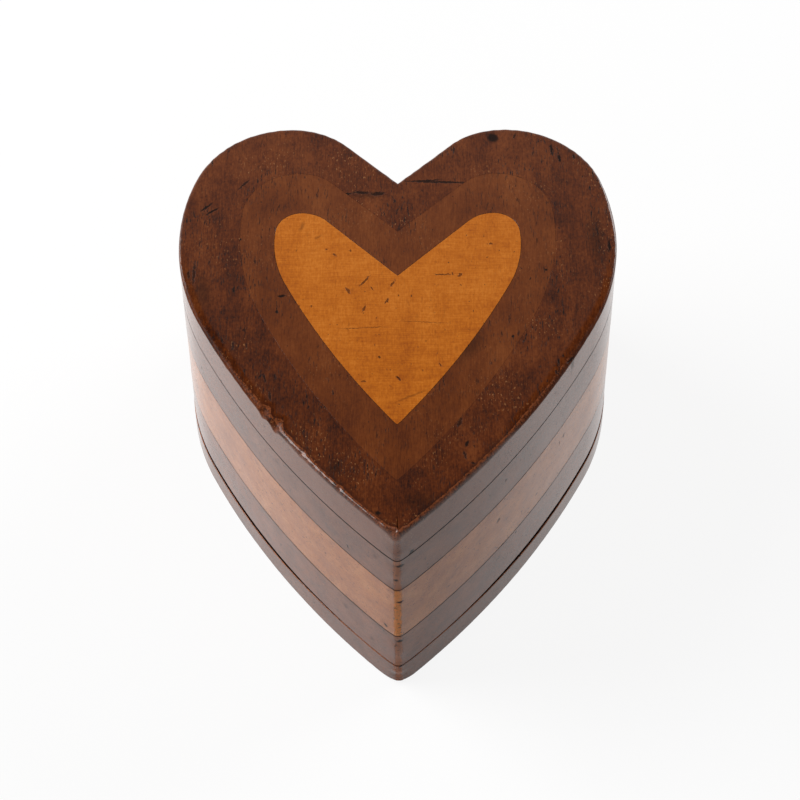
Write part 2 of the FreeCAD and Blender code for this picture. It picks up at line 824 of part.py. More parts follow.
def make_hinges():
    """Two brass butt hinges: the lid's leaf has the middle knuckle, the case's leaf the outer two."""
    axis_y = as_formula(HINGE_Y)
    leaves = {"hinge_leaves_case": [], "hinge_leaves_lid": []}
    screws = {"hinge_screws_case": [], "hinge_screws_lid": []}
    pins = []
    third = "hinge_length / 3"
    for side in (-1, 1):
        left = as_formula(side * HINGE_X) + " - hinge_length / 2"
        pins.append(rod("hinge_pin_radius", "hinge_length", left, axis_y, "lid_z", ALONG_X))
        for label, low, tail_up in (("hinge_leaves_case", "lid_z - hinge_leaf_thickness", False),
                                    ("hinge_leaves_lid", "lid_z", True)):
            leaf = block("hinge_length", "hinge_leaf_depth", "hinge_leaf_thickness",
                         left, axis_y + " - hinge_leaf_depth", low)
            barrel = rod("hinge_barrel_radius", "hinge_length", left, axis_y, "lid_z", ALONG_X)
            tools = [rod("hinge_pin_radius + pin_clearance", "hinge_length", left, axis_y, "lid_z", ALONG_X)]
            room = "hinge_barrel_radius + hinge_running_gap"
            if tail_up:
                spans = [(left, third), (left + f" + 2 * {third}", third)]
            else:
                spans = [(left + f" + {third} - hinge_running_gap", f"{third} + 2 * hinge_running_gap")]
            for start, span in spans:
                tools.append(rod(room, span, start, axis_y, "lid_z", ALONG_X))
            for x, y in as_text(hinge_screw_places()):
                if (float(x) > 0) == (side > 0):
                    tools.append(hinge_screw_head(x, y, tail_up))
            leaves[label].append(cut(fuse([leaf, barrel, hinge_tail(side, tail_up)]), tools))
    for x, y in as_text(hinge_screw_places()):
        for label, up in (("hinge_screws_case", False), ("hinge_screws_lid", True)):
            low = "lid_z + hinge_leaf_thickness" if up else "lid_z - hinge_screw_length"
            shank = rod("hinge_screw_radius", "hinge_screw_length - hinge_leaf_thickness", x, y, low)
            screws[label].append(fuse([hinge_screw_head(x, y, up), shank]))
    for label, solids in {**leaves, **screws}.items():
        node(group(solids), label)
    node(group(pins), "hinge_pins")


def hinge_screw_head(x, y, up):
    """Countersunk head, flush with its leaf."""
    radii = ("hinge_screw_head_radius", "hinge_screw_radius")
    if up:
        return cone(*radii, "hinge_leaf_thickness", x, y, "lid_z")
    return cone(*reversed(radii), "hinge_leaf_thickness", x, y, "lid_z - hinge_leaf_thickness")


# Tray panel

PILLAR_INSET = CAVITY_INSET + value("pillar_radius") + 2 * value("panel_clearance")
PILLAR_LOBE_ANGLE = 60
PILLARS = mirrored_pairs([
    CASE.on_lobe(PILLAR_LOBE_ANGLE, PILLAR_INSET),
    CASE.on_flank(FLANK_SCREW_ANGLE, PILLAR_INSET),
])


def make_panel():
    """Loose floor of the tray, with a glazed window over the movement and a felt cover."""
    body = new_body("inner_panel")
    outline = new_sketch(body, "XY_Plane", "panel_height")
    inset = CAVITY_INSET + value("panel_clearance")
    draw_heart(outline, CASE, LOBE_Y, inset, CAVITY_NOSE)
    pad(body, outline, "panel_thickness")
    window = new_sketch(body, "XY_Plane", "panel_height")
    draw_window(window, "0")
    pocket(body, window)
    rebate = new_sketch(body, "XY_Plane", "felt_z")
    draw_window(rebate, "glass_rebate")
    pocket(body, rebate, "glass_thickness")
    drill(body, [("plunger_x", "fly_y")], "plunger_radius + guide_wall", "panel_height")

    glass = new_body("panel_glass")
    pane = new_sketch(glass, "XY_Plane", "felt_z - glass_thickness")
    draw_window(pane, "glass_rebate - glass_clearance")
    pad(glass, pane, "glass_thickness")

    felt = new_body("panel_felt")
    cloth = new_sketch(felt, "XY_Plane", "felt_z")
    draw_heart(cloth, CASE, LOBE_Y, inset, CAVITY_NOSE)
    draw_window(cloth, "0")
    pad(felt, cloth, "felt_thickness")
    drill(felt, [("plunger_x", "fly_y")], "plunger_radius + guide_wall", "felt_z")


def draw_window(sketch, grow):
    """The window's plan, grown on every side."""
    draw_box(sketch, f"-window_half_width - ({grow})", f"window_middle - window_depth / 2 - ({grow})",
             f"window_half_width + {grow}", f"window_middle + window_depth / 2 + {grow}")


def make_pillars():
    """Turned posts on the base that carry the panel."""
    radius = value("pillar_radius")
    waist = value("pillar_waist")
    low = value("base_thickness")
    high = value("panel_height")
    collar = value("pillar_collar")
    outline = [(0, low), (radius, low), (radius, low + collar), (waist, low + 2 * collar),
               (waist, high - 2 * collar), (radius, high - collar), (radius, high), (0, high)]
    posts = []
    for x, y in PILLARS:
        corners = [FreeCAD.Vector(x + r, y, z) for r, z in outline]
        face = Part.Face(Part.makePolygon(corners + corners[:1]))
        posts.append(coded(face.revolve(FreeCAD.Vector(x, y, 0), FreeCAD.Vector(0, 0, 1), 360)))
    node(group(posts), "panel_pillars")


# Movement frame

FRAME_SCREWS = [
    ("left_bearing_x + plate_thickness / 2 + foot_length / 2", "movement_y"),
    ("inner_plate_x + plate_thickness / 2 + foot_length / 2", "movement_y - frame_foot / 2"),
    ("outer_plate_x + plate_thickness / 2 + foot_length / 2", "first_y"),
    ("fly_x", "cock_post_y - foot_length / 2"),
]


def make_bedplate():
    """Cast bedplate that carries the whole movement on the base."""
    body = new_body("bedplate")
    outline = new_sketch(body, "XY_Plane", "base_thickness")
    front = "movement_y - bedplate_front"
    shoulder = "movement_y - bedplate_shoulder"
    back = "movement_y + bedplate_back"
    left = "comb_left - bedplate_screw_inset"
    right = "comb_left + comb_width + bedplate_screw_inset"
    draw_polygon(outline, [(left, front), (right, front), ("bedplate_right_x", shoulder),
                           ("bedplate_right_x", back), ("-bedplate_left", back),
                           ("-bedplate_left", shoulder)])
    pad(body, outline, "bedplate_thickness")
    drill(body, [("barrel_x", "movement_y")], "bush_radius", "base_thickness")
    drill(body, MOVEMENT_SCREWS, "movement_screw_radius + screw_clearance", "base_thickness")
    drill(body, FRAME_SCREWS, "frame_screw_radius + screw_clearance", "base_thickness")
    drill(body, [("fly_x", "fly_y")], "fly_arbor_radius + running_clearance", "base_thickness")


def make_movement_screws():
    """Screws from below, through the base into the bedplate."""
    screws = []
    head_top = "base_screw_sunk + movement_screw_head_height"
    for x, y in MOVEMENT_SCREWS:
        head = rod("movement_screw_head_radius", "movement_screw_head_height", x, y, "base_screw_sunk")
        shank = rod("movement_screw_radius", f"plate_z - ({head_top})", x, y, head_top)
        screws.append(fuse([head, shank]))
    node(group(screws), "movement_screws")


def make_frame_screws():
    """Cheese-head screws that hold the plates' feet to the bedplate."""
    screws = []
    for x, y in FRAME_SCREWS:
        head = rod("frame_screw_head_radius", "frame_screw_head_height", x, y, "plate_z + foot_thickness")
        shank = rod("frame_screw_radius", "foot_thickness + bedplate_thickness", x, y, "base_thickness")
        screws.append(fuse([head, shank]))
    node(group(screws), "frame_screws")


def make_plate(label, middle_x, corners, holes, foot):
    """An upright plate across X with pivot holes and a foot towards +X."""
    body = new_body(label)
    outline = new_sketch(body, "YZ_Plane", f"{middle_x} - plate_thickness / 2")
    draw_polygon(outline, corners)
    pad(body, outline, "plate_thickness")
    sole = new_sketch(body, "XY_Plane", "plate_z")
    face = f"{middle_x} + plate_thickness / 2"
    draw_box(sole, middle_x, foot[0], f"{face} + foot_length", foot[1])
    pad(body, sole, "foot_thickness")
    pivots = new_sketch(body, "YZ_Plane", middle_x)
    for y, z, radius in holes:
        draw_circle(pivots, y, z, f"{radius} + running_clearance")
    pocket(body, pivots)
    return body


def make_plates():
    """Left bearing, and the two governor plates, of which the inner one also carries the cylinder."""
    half = "bearing_width / 2"
    left = make_plate(
        "left_bearing", "left_bearing_x",
        [(f"movement_y - {half}", "plate_z"), (f"movement_y + {half}", "plate_z"),
         (f"movement_y + {half}", "axis_z"), (f"movement_y + {half} / 2", "axis_z + bearing_cap"),
         (f"movement_y - {half} / 2", "axis_z + bearing_cap"), (f"movement_y - {half}", "axis_z")],
        [("movement_y", "axis_z", "cylinder_arbor_radius")],
        (f"movement_y - {half}", f"movement_y + {half}"))
    drill(left, FRAME_SCREWS[0:1], "frame_screw_radius + screw_clearance", "plate_z")
    back = "second_y + plate_margin"
    inner = make_plate(
        "governor_plate_inner", "inner_plate_x",
        [("movement_y - frame_foot", "plate_z"), (back, "plate_z"), (back, "second_z + plate_margin"),
         ("second_y - plate_margin", "second_z + plate_margin"),
         (f"movement_y + {half} / 2", "axis_z + bearing_cap"),
         (f"movement_y - {half} / 2", "axis_z + bearing_cap"), (f"movement_y - {half}", "axis_z")],
        [("movement_y", "axis_z", "cylinder_arbor_radius"), ("first_y", "first_z", "arbor_radius"),
         ("second_y", "second_z", "arbor_radius")],
        ("movement_y - frame_foot", "movement_y"))
    drill(inner, FRAME_SCREWS[1:2], "frame_screw_radius + screw_clearance", "plate_z")
    front = "first_y - plate_margin"
    outer = make_plate(
        "governor_plate_outer", "outer_plate_x",
        [(front, "plate_z"), (back, "plate_z"), (back, "second_z + plate_margin"),
         ("second_y - plate_margin", "second_z + plate_margin"), (front, "first_z + plate_margin")],
        [("first_y", "first_z", "arbor_radius"), ("second_y", "second_z", "arbor_radius")],
        (front, "first_y + plate_margin"))
    drill(outer, FRAME_SCREWS[2:3], "frame_screw_radius + screw_clearance", "plate_z")


# Toothed wheels

PRESSURE_ANGLE = math.radians(20)


def involute(angle):
    """Involute function of a pressure angle."""
    return math.tan(angle) - angle


def tooth_outline(teeth):
    """Corners of a spur wheel with a tooth on its own +X: radial root, then involute flanks."""
    module = value("tooth_module")
    pitch_radius = module * teeth / 2
    base_radius = pitch_radius * math.cos(PRESSURE_ANGLE)
    root = pitch_radius - module * value("tooth_dedendum")
    tip = pitch_radius + module * value("tooth_addendum")
    half_pitch_tooth = value("tooth_share") * math.pi / teeth
    at_base = half_pitch_tooth + involute(PRESSURE_ANGLE)

    def half_angle(radius):
        if radius <= base_radius:
            return at_base
        return at_base - involute(math.acos(base_radius / radius))

    profile = [(radius, half_angle(radius)) for radius in (root, pitch_radius, tip)]
    corners = []
    for number in range(teeth):
        middle = 2 * math.pi * number / teeth
        for radius, half in profile:
            corners.append((radius, middle - half))
        for radius, half in reversed(profile):
            corners.append((radius, middle + half))
    return corners


def across_x(x, y, z, radius, angle):
    """A point at an angle round an axis along X; angle 0 is +Y and 90 degrees is +Z."""
    return FreeCAD.Vector(x, y + radius * math.cos(angle), z + radius * math.sin(angle))


def spur_wheel(teeth, start_x, face, y, z, bore, tooth_angle, windows=0):
    """A spur wheel across X, with one tooth at the given angle and round windows in its web."""
    turn = math.radians(tooth_angle)
    corners = [across_x(start_x, y, z, radius, angle + turn) for radius, angle in tooth_outline(teeth)]
    axis = FreeCAD.Vector(1, 0, 0)
    wheel = Part.Face(Part.makePolygon(corners + corners[:1])).extrude(axis * face)
    holes = [Part.makeCylinder(bore, face, FreeCAD.Vector(start_x, y, z), axis)]
    web = value("tooth_module") * (teeth / 2 - value("web_rim")) - bore
    for number in range(windows):
        place = across_x(start_x, y, z, bore + web / 2, turn + 2 * math.pi * number / windows)
        holes.append(Part.makeCylinder(web * value("web_window"), face, place, axis))
    return wheel.cut(holes)


def twisted(corners, stations, place):
    """A solid whose outline turns as it advances through (distance, angle) stations, in flat facets."""
    rings = []
    for distance, turn in stations:
        rings.append([place(distance, radius, angle + turn) for radius, angle in corners])
    faces = []
    for ring in (rings[0], rings[-1]):
        faces.append(Part.Face(Part.makePolygon(ring + ring[:1])))
    total = len(corners)
    for low, high in zip(rings, rings[1:]):
        for number in range(total):
            following = (number + 1) % total
            near, far = low[number], low[following]
            near_up, far_up = high[number], high[following]
            if near.distanceToPoint(far_up) < far.distanceToPoint(near_up):
                facets = [[near, far, far_up], [near, far_up, near_up]]
            else:
                facets = [[near, far, near_up], [far, far_up, near_up]]
            for facet in facets:
                faces.append(Part.Face(Part.makePolygon(facet + facet[:1])))
    shell = Part.makeShell(faces)
    shell.sewShape()
    solid = Part.makeSolid(shell)
    if solid.Volume < 0:
        solid.reverse()
    return solid


def half_tooth(teeth):
    """Angle from a tooth's middle to the next gap's middle, in degrees."""
    return 180 / teeth


def make_cylinder_train():
    """Everything that turns with the pinned cylinder."""
    y = value("movement_y")
    z = value("axis_z")
    arbor = value("cylinder_arbor_radius")
    reach = "inner_plate_x + plate_thickness / 2 - pinion_x"
    node(rod("cylinder_arbor_radius", reach, "pinion_x", "movement_y", "axis_z", ALONG_X), "cylinder_arbor")
    barrel = rod("cylinder_radius", "cylinder_length", "cylinder_x", "movement_y", "axis_z", ALONG_X)
    bore = rod("cylinder_arbor_radius", "cylinder_length", "cylinder_x", "movement_y", "axis_z", ALONG_X)
    node(cut(barrel, [bore]), "music_cylinder")
    straight_down = -90
    pinion = spur_wheel(count("cylinder_pinion_teeth"), value("pinion_x"), value("pinion_face"), y, z, arbor,
                        straight_down)
    node(coded(pinion), "cylinder_pinion")
    wheel = spur_wheel(count("cylinder_wheel_teeth"), value("cylinder_wheel_x"), value("wheel_thickness"),
                       y, z, arbor, value("first_arbor_angle"), count("web_window_count"))
    node(coded(wheel), "cylinder_wheel")
    node(coded(pinned_tune()), "cylinder_pins")


def pinned_tune():
    """Square pins on the cylinder: each note's pins are spread round it by a fixed stepping rule."""
    width = value("pin_width")
    radius = value("cylinder_radius")
    notes = count("comb_teeth")
    axis_point = FreeCAD.Vector(0, value("movement_y"), value("axis_z"))
    pins = []
    for note in range(notes):
        x = value("cylinder_x") + value("note_pitch") * (note + 0.5)
        for row in range(count("pin_rows")):
            beat = (count("pin_note_count") * note + count("pin_row_count") * row) % notes
            pin = Part.makeBox(width, width, value("pin_height"))
            pin.translate(FreeCAD.Vector(x - width / 2, -width / 2, radius) + axis_point)
            pin.rotate(axis_point, FreeCAD.Vector(1, 0, 0), 360 * (beat + 0.5) / notes)
            pins.append(pin)
    return Part.makeCompound(pins)


def make_governor():
    """First and second arbors with their wheels."""
    bore = value("arbor_radius")
    face = value("pinion_face")
    thick = value("wheel_thickness")
    slack = (face - thick) / 2
    first_y = value("first_y")
    first_z = value("first_z")
    second_y = value("second_y")
    second_z = value("second_z")
    first_angle = value("first_arbor_angle")
    second_angle = value("second_arbor_angle")
    pinion_teeth = count("first_pinion_teeth")
    outer_face = "outer_plate_x + plate_thickness / 2"
    pinion_start = value("cylinder_wheel_x") - slack
    pinion = spur_wheel(pinion_teeth, pinion_start, face, first_y, first_z, bore,
                        first_angle + 180 + half_tooth(pinion_teeth))
    node(coded(pinion), "first_pinion")
    wheel_start = value("first_wheel_x") + slack
    wheel = spur_wheel(count("first_wheel_teeth"), wheel_start, thick, first_y, first_z, bore,
                       second_angle, count("web_window_count"))
    node(coded(wheel), "first_wheel")
    start = "cylinder_wheel_x - pinion_face / 2"
    reach = f"{outer_face} - ({start})"
    node(rod("arbor_radius", reach, start, "first_y", "first_z", ALONG_X), "first_arbor")
    pinion_teeth = count("second_pinion_teeth")
    pinion = spur_wheel(pinion_teeth, value("first_wheel_x"), face, second_y, second_z, bore,
                        second_angle + 180 + half_tooth(pinion_teeth))
    node(coded(pinion), "second_pinion")
    start = "inner_plate_x - plate_thickness / 2"
    reach = f"{outer_face} - ({start})"
    node(rod("arbor_radius", reach, start, "second_y", "second_z", ALONG_X), "second_arbor")
    node(coded(worm_wheel()), "worm_wheel")


def worm_lead():
    """Advance of the endless screw in one turn."""
    return count("worm_starts") * math.pi * value("tooth_module")


def worm_wheel():
    """Wheel with slanted teeth that lie along the endless screw's threads."""
    teeth = count("worm_wheel_teeth")
    thick = value("wheel_thickness")
    start = value("worm_wheel_x")
    y = value("second_y")
    z = value("second_z")
    slope = worm_lead() / (2 * math.pi * value("worm_pitch_radius"))
    half_twist = slope * thick / 2 / value("worm_wheel_radius")

    def place(distance, radius, angle):
        return across_x(start + distance, y, z, radius, angle)

    wheel = twisted(tooth_outline(teeth), [(0, -half_twist), (thick, half_twist)], place)
    axis = FreeCAD.Vector(1, 0, 0)
    bore = Part.makeCylinder(value("arbor_radius"), thick, FreeCAD.Vector(start, y, z), axis)
    return wheel.cut(bore)


def worm():
    """Endless screw: the cross-section of its threads, turned as it rises, with a gap facing the wheel."""
    starts = count("worm_starts")
    module = value("tooth_module")
    lead = worm_lead()
    pitch_width = value("tooth_share") * math.pi * module
    profile = []
    for height in (-value("tooth_dedendum") * module, 0.0, value("tooth_addendum") * module):
        width = pitch_width - 2 * height * math.tan(PRESSURE_ANGLE)
        profile.append((value("worm_pitch_radius") + height, math.pi * width / lead))
    corners = []
    for number in range(starts):
        middle = 2 * math.pi * number / starts
        for radius, half in profile:
            corners.append((radius, middle - half))
        for radius, half in reversed(profile):
            corners.append((radius, middle + half))
    length = value("worm_length")
    steps = round(length / lead * count("worm_turn_steps"))
    facing_wheel = -math.pi / 2
    gap = math.pi / starts
    stations = []
    for step in range(steps + 1):
        rise = length * step / steps
        stations.append((rise, facing_wheel + gap + 2 * math.pi * (rise - length / 2) / lead))
    x = value("fly_x")
    y = value("fly_y")
    z = value("worm_z")

    def place(distance, radius, angle):
        return FreeCAD.Vector(x + radius * math.cos(angle), y + radius * math.sin(angle), z + distance)

    return twisted(corners, stations, place)


def make_fly():
    """Endless screw with its arbor, the brake disc and the air vanes."""
    low = rod("fly_arbor_radius", "worm_z - base_thickness - pivot_lift", "fly_x", "fly_y",
              "base_thickness + pivot_lift")
    high = rod("fly_arbor_radius", "cock_z + cock_thickness - worm_top_z", "fly_x", "fly_y", "worm_top_z")
    node(fuse([coded(worm()), low, high]), "fly_worm")
    disc = rod("fly_disc_radius", "fly_disc_thickness", "fly_x", "fly_y", "disc_z")
    bore = rod("fly_arbor_radius", "fly_disc_thickness", "fly_x", "fly_y", "disc_z")
    node(cut(disc, [bore]), "brake_disc")
    hub = rod("fly_hub_radius", "fly_height", "fly_x", "fly_y", "vane_z")
    vane = block("fly_span", "fly_thickness", "fly_height", "fly_x - fly_span / 2",
                 "fly_y - fly_thickness / 2", "vane_z")
    bore = rod("fly_arbor_radius", "fly_height", "fly_x", "fly_y", "vane_z")
    node(cut(fuse([hub, vane]), [bore]), "fly_vanes")
    body = new_body("fly_cock")
    side = new_sketch(body, "YZ_Plane", "fly_x - cock_width / 2")
    back = "cock_post_y + cock_thickness"
    draw_polygon(side, [("fly_y - cock_width / 2", "cock_z"), ("cock_post_y", "cock_z"),
                        ("cock_post_y", "plate_z + foot_thickness"),
                        ("cock_post_y - foot_length", "plate_z + foot_thickness"),
                        ("cock_post_y - foot_length", "plate_z"), (back, "plate_z"),
                        (back, "cock_z + cock_thickness"),
                        ("fly_y - cock_width / 2", "cock_z + cock_thickness")])
    pad(body, side, "cock_width")
    drill(body, [("fly_x", "fly_y")], "fly_arbor_radius + running_clearance", "cock_z")
    drill(body, FRAME_SCREWS[3:4], "frame_screw_radius + screw_clearance", "plate_z",
          "foot_thickness", True)


# Spring barrel, mainspring and winder

def make_barrel():
    """Spring barrel with crown teeth on its rim, and its cover."""
    x = value("barrel_x")
    y = value("movement_y")
    drum = rod("barrel_radius", "crown_root_z - barrel_z", "barrel_x", "movement_y", "barrel_z")
    room = rod("barrel_inner_radius", "crown_root_z - barrel_z", "barrel_x", "movement_y",
               "barrel_z + barrel_floor")
    bore = rod("winder_radius + running_clearance", "crown_root_z - barrel_z", "barrel_x", "movement_y",
               "barrel_z")
    module = value("tooth_module")
    rise = module * value("tooth_addendum")
    fall = module * value("tooth_dedendum")
    pitch_width = value("crown_tooth_share") * math.pi * module
    low_half = pitch_width / 2 + fall * math.tan(PRESSURE_ANGLE)
    high_half = pitch_width / 2 - rise * math.tan(PRESSURE_ANGLE)
    inner = value("crown_radius") - value("crown_face") / 2
    length = math.sqrt(value("barrel_radius") ** 2 - low_half ** 2) - inner
    low = value("crown_root_z")
    high = value("crown_tip_z")
    section = [(-low_half, low), (low_half, low), (high_half, high), (-high_half, high)]
    corners = [FreeCAD.Vector(x + inner, y + across, rise_z) for across, rise_z in section]
    tooth = Part.Face(Part.makePolygon(corners + corners[:1])).extrude(FreeCAD.Vector(length, 0, 0))
    total = count("crown_teeth")
    teeth = []
    for number in range(total):
        copy = tooth.copy()
        copy.rotate(FreeCAD.Vector(x, y, 0), FreeCAD.Vector(0, 0, 1), (number + 0.5) * 360 / total)
        teeth.append(copy)
    crown = coded(Part.makeCompound(teeth))
    node(fuse([cut(drum, [room, bore]), crown]), "spring_barrel")
    cover = rod("barrel_inner_radius", "barrel_cover_thickness", "barrel_x", "movement_y", "barrel_cover_z")
    bore = rod("winder_radius + running_clearance", "barrel_cover_thickness", "barrel_x", "movement_y",
               "barrel_cover_z")
    node(cut(cover, [bore]), "barrel_cover")
    node(coded(mainspring()), "mainspring")


def half_turns(start_radius, pitch, turns, x, y, z):
    """Half circles of growing radius, joined end to end, as a flat spiral."""
    runs = []
    centre = x
    radius = start_radius
    side = 1
    for number in range(2 * turns):
        begin = FreeCAD.Vector(centre + side * radius, y, z)
        middle = FreeCAD.Vector(centre, y + side * radius, z)
        end = FreeCAD.Vector(centre - side * radius, y, z)
        runs.append((begin, middle, end))
        centre += side * pitch / 2
        radius += pitch / 2
        side = -side
    return runs


def mainspring():
    """Steel strip wound between the hub and the barrel wall."""
    thick = value("spring_thickness")
    inner = value("winder_hub_radius") + value("spring_side_gap")
    outer = value("barrel_inner_radius") - value("spring_side_gap")
    turns = count("spring_turns")
    pitch = (outer - inner - thick) / (turns + 0.5)
    x = value("barrel_x")
    y = value("movement_y")
    z = value("spring_z")
    near = half_turns(inner + pitch / 2, pitch, turns, x, y, z)
    edges = []
    for begin, middle, end in near:
        edges.append(Part.Arc(begin, middle, end).toShape())
    far = half_turns(inner + pitch / 2 + thick, pitch, turns, x, y, z)
    edges.append(Part.makeLine(near[-1][2], far[-1][2]))
    for begin, middle, end in reversed(far):
        edges.append(Part.Arc(end, middle, begin).toShape())
    edges.append(Part.makeLine(far[0][0], near[0][0]))
    print(f"mainspring: {turns} turns, gap between turns {pitch - thick:.2f}")
    strip = Part.Face(Part.Wire(edges))
    return strip.extrude(FreeCAD.Vector(0, 0, value("spring_height")))


def make_winder():
    """Winding arbor, its bush in the bedplate, and the butterfly key in the base."""
    low = "key_table_gap + key_boss_gap"
    shaft = rod("winder_radius", f"winder_top_z - ({low})", "barrel_x", "movement_y", low)
    hub = rod("winder_hub_radius", "spring_height", "barrel_x", "movement_y", "spring_z")
    node(fuse([shaft, hub]), "winding_arbor")
    flange_z = "base_thickness - bush_flange_thickness"
    flange = rod("bush_flange_radius", "bush_flange_thickness", "barrel_x", "movement_y", flange_z)
    sleeve = rod("bush_radius", "bedplate_thickness + barrel_lift - side_play", "barrel_x", "movement_y",
                 "base_thickness")
    bore = rod("winder_radius + running_clearance", "plate_z", "barrel_x", "movement_y", flange_z)
    node(cut(fuse([flange, sleeve]), [bore]), "arbor_bush")
    boss = rod("key_boss_radius", f"{flange_z} - side_play - ({low})", "barrel_x", "movement_y", low)
    wing_offset = "key_wing_reach - key_wing_radius"
    side_y = "movement_y - key_thickness / 2"
    solids = [boss, block(f"2 * ({wing_offset})", "key_thickness", "key_bar_height",
                          f"barrel_x - ({wing_offset})", side_y, "key_mid_z - key_bar_height / 2")]
    tools = [rod("winder_radius", "base_thickness", "barrel_x", "movement_y", "0")]
    for sign in ("+", "-"):
        middle = f"barrel_x {sign} ({wing_offset})"
        solids.append(rod("key_wing_radius", "key_thickness", middle, side_y, "key_mid_z", ALONG_Y))
        tools.append(rod("key_wing_hole", "key_thickness", middle, side_y, "key_mid_z", ALONG_Y))
    node(cut(fuse(solids), tools), "winding_key")


# Comb

def make_comb():
    """Steel comb whose slots deepen towards the bass, on its block, with lead under the bass teeth."""
    left = value("comb_left")
    right = left + value("comb_width")
    tip = value("comb_tip_y")
    bass_root = value("comb_root_y")
    treble_root = tip - value("comb_treble_length")
    back = value("comb_back_y")
    z = value("comb_z")
    slot = value("comb_slot")
    pitch = value("note_pitch")
    notes = count("comb_teeth")

    def root(x):
        return bass_root + (treble_root - bass_root) * (x - left) / (right - left)

    corners = [(left, back), (right, back), (right, treble_root)]
    teeth = []
    for note in reversed(range(notes)):
        low_x = value("cylinder_x") + pitch * note + slot / 2
        high_x = low_x + pitch - slot
        corners += [(high_x, root(high_x)), (high_x, tip), (low_x, tip), (low_x, root(low_x))]
        teeth.append((low_x, high_x))
    corners.append((left, bass_root))
    points = [FreeCAD.Vector(x, y, z) for x, y in corners]
    plate = Part.Face(Part.makePolygon(points + points[:1]))
    comb = coded(plate.extrude(FreeCAD.Vector(0, 0, value("comb_thickness"))))
    places = comb_screw_places()
    holes = [rod("comb_screw_radius + screw_clearance", "comb_thickness", x, y, "comb_z") for x, y in places]
    node(cut(comb, holes), "comb")

    base = block("comb_width", "comb_heel", "comb_z - plate_z", "comb_left", "comb_back_y", "plate_z")
    depth = "comb_screw_length"
    holes = [rod("comb_screw_radius + screw_clearance", depth, x, y, f"comb_z - {depth}") for x, y in places]
    node(cut(base, holes), "comb_base")
    screws = []
    for x, y in places:
        head = rod("comb_screw_head_radius", "comb_screw_head_height", x, y, "comb_z + comb_thickness")
        shank = rod("comb_screw_radius", f"{depth} + comb_thickness", x, y, f"comb_z - {depth}")
        screws.append(fuse([head, shank]))
    node(group(screws), "comb_screws")

    weights = []
    length = value("weight_length")
    height = value("weight_height")
    for low_x, high_x in sorted(teeth)[:count("weight_count")]:
        corner = FreeCAD.Vector(low_x, tip - length - value("weight_setback"), z - height)
        weights.append(coded(Part.makeBox(high_x - low_x, length, height, corner)))
    node(group(weights), "comb_weights")


def comb_screw_places():
    """Two screws through the comb's heel."""
    row = "comb_back_y + comb_heel / 2"
    return [("comb_left + comb_screw_inset", row), ("comb_left + comb_width - comb_screw_inset", row)]


# Lid-worked stop

def make_stop():
    """Plunger that the lid presses down, and the see-saw brake lever under the fly's disc."""
    tip_x = "fly_x + fly_arbor_radius + lever_tip_gap"
    side_y = "fly_y - lever_width / 2"
    bar = block(f"plunger_x + lever_overhang - ({tip_x})", "lever_width", "lever_thickness", tip_x, side_y,
                "lever_z - lever_thickness / 2")
    boss = rod("lever_boss_radius", "lever_width", "lever_pivot_x", side_y, "lever_z", ALONG_Y)
    bore = rod("lever_pivot_radius + running_clearance", "lever_width", "lever_pivot_x", side_y, "lever_z",
               ALONG_Y)
    node(cut(fuse([bar, boss]), [bore]), "brake_lever")
    node(block("pad_length", "lever_width", "pad_thickness", tip_x, side_y, "lever_top_z"), "brake_pad")
    cheek_low = "fly_y - lever_width / 2 - side_play - plate_thickness"
    cheek_high = "fly_y + lever_width / 2 + side_play"
    full = "lever_width + 2 * side_play + 2 * plate_thickness"
    sole = block("2 * bracket_half", full, "foot_thickness", "lever_pivot_x - bracket_half", cheek_low,
                 "plate_z")
    solids = [sole]
    for low in (cheek_low, cheek_high):
        solids.append(block("2 * bracket_half", "plate_thickness", "lever_z + bracket_half - plate_z",
                            "lever_pivot_x - bracket_half", low, "plate_z"))
    hole = rod("lever_pivot_radius", full, "lever_pivot_x", cheek_low, "lever_z", ALONG_Y)
    node(cut(fuse(solids), [hole]), "lever_bracket")
    node(rod("lever_pivot_radius", full, "lever_pivot_x", cheek_low, "lever_z", ALONG_Y), "lever_pin")

    rod_length = "plunger_top_z - plunger_low_z"
    stem = rod("plunger_radius", rod_length, "plunger_x", "fly_y", "plunger_low_z")
    button = rod("plunger_button_radius", "plunger_button_height", "plunger_x", "fly_y",
                 "plunger_top_z - plunger_button_height")
    node(fuse([stem, button]), "stop_plunger")
    tube = rod("plunger_radius + guide_wall", "guide_length", "plunger_x", "fly_y", "guide_z - guide_length")
    flange = rod("guide_flange_radius", "guide_flange_thickness", "plunger_x", "fly_y", "guide_z")
    depth = "guide_length + guide_flange_thickness"
    bore = rod("plunger_radius + running_clearance", depth, "plunger_x", "fly_y", "guide_z - guide_length")
    node(cut(fuse([tube, flange]), [bore]), "plunger_guide")


make_base()
make_rings()
make_base_screws()
make_lid()
make_hinges()
make_panel()
make_pillars()
make_bedplate()
make_movement_screws()
make_frame_screws()
make_plates()
make_cylinder_train()
make_governor()
make_fly()
make_barrel()
make_winder()
make_comb()
make_stop()
DOC.recompute()

# Nothing is written unless every object is sound.
faults = []
for item in DOC.Objects:
    if "Invalid" in item.State or "Error" in item.State:
        faults.append(f"{item.Name} {item.Label}: {item.State}")
for item in NODES:
    if item.Shape.isNull() or not item.Shape.isValid():
        faults.append(f"{item.Label}: shape is not sound")
for name, removed in CUT_CHECKS:
    if removed <= 0:
        faults.append(f"{name}: a pocket cut nothing")
if faults:
    raise RuntimeError("; ".join(faults))
for item in NODES:
    item.Shape.exportStep(f"parts/{item.Label}.step")
    print(f"{item.Label}: {len(item.Shape.Solids)} solids, {item.Shape.Volume:.1f} mm3")
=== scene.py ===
import json
import logging
import math
from dataclasses import dataclass, field, replace
from enum import Enum
from functools import reduce
from typing import Iterable, Optional, Sequence, Union

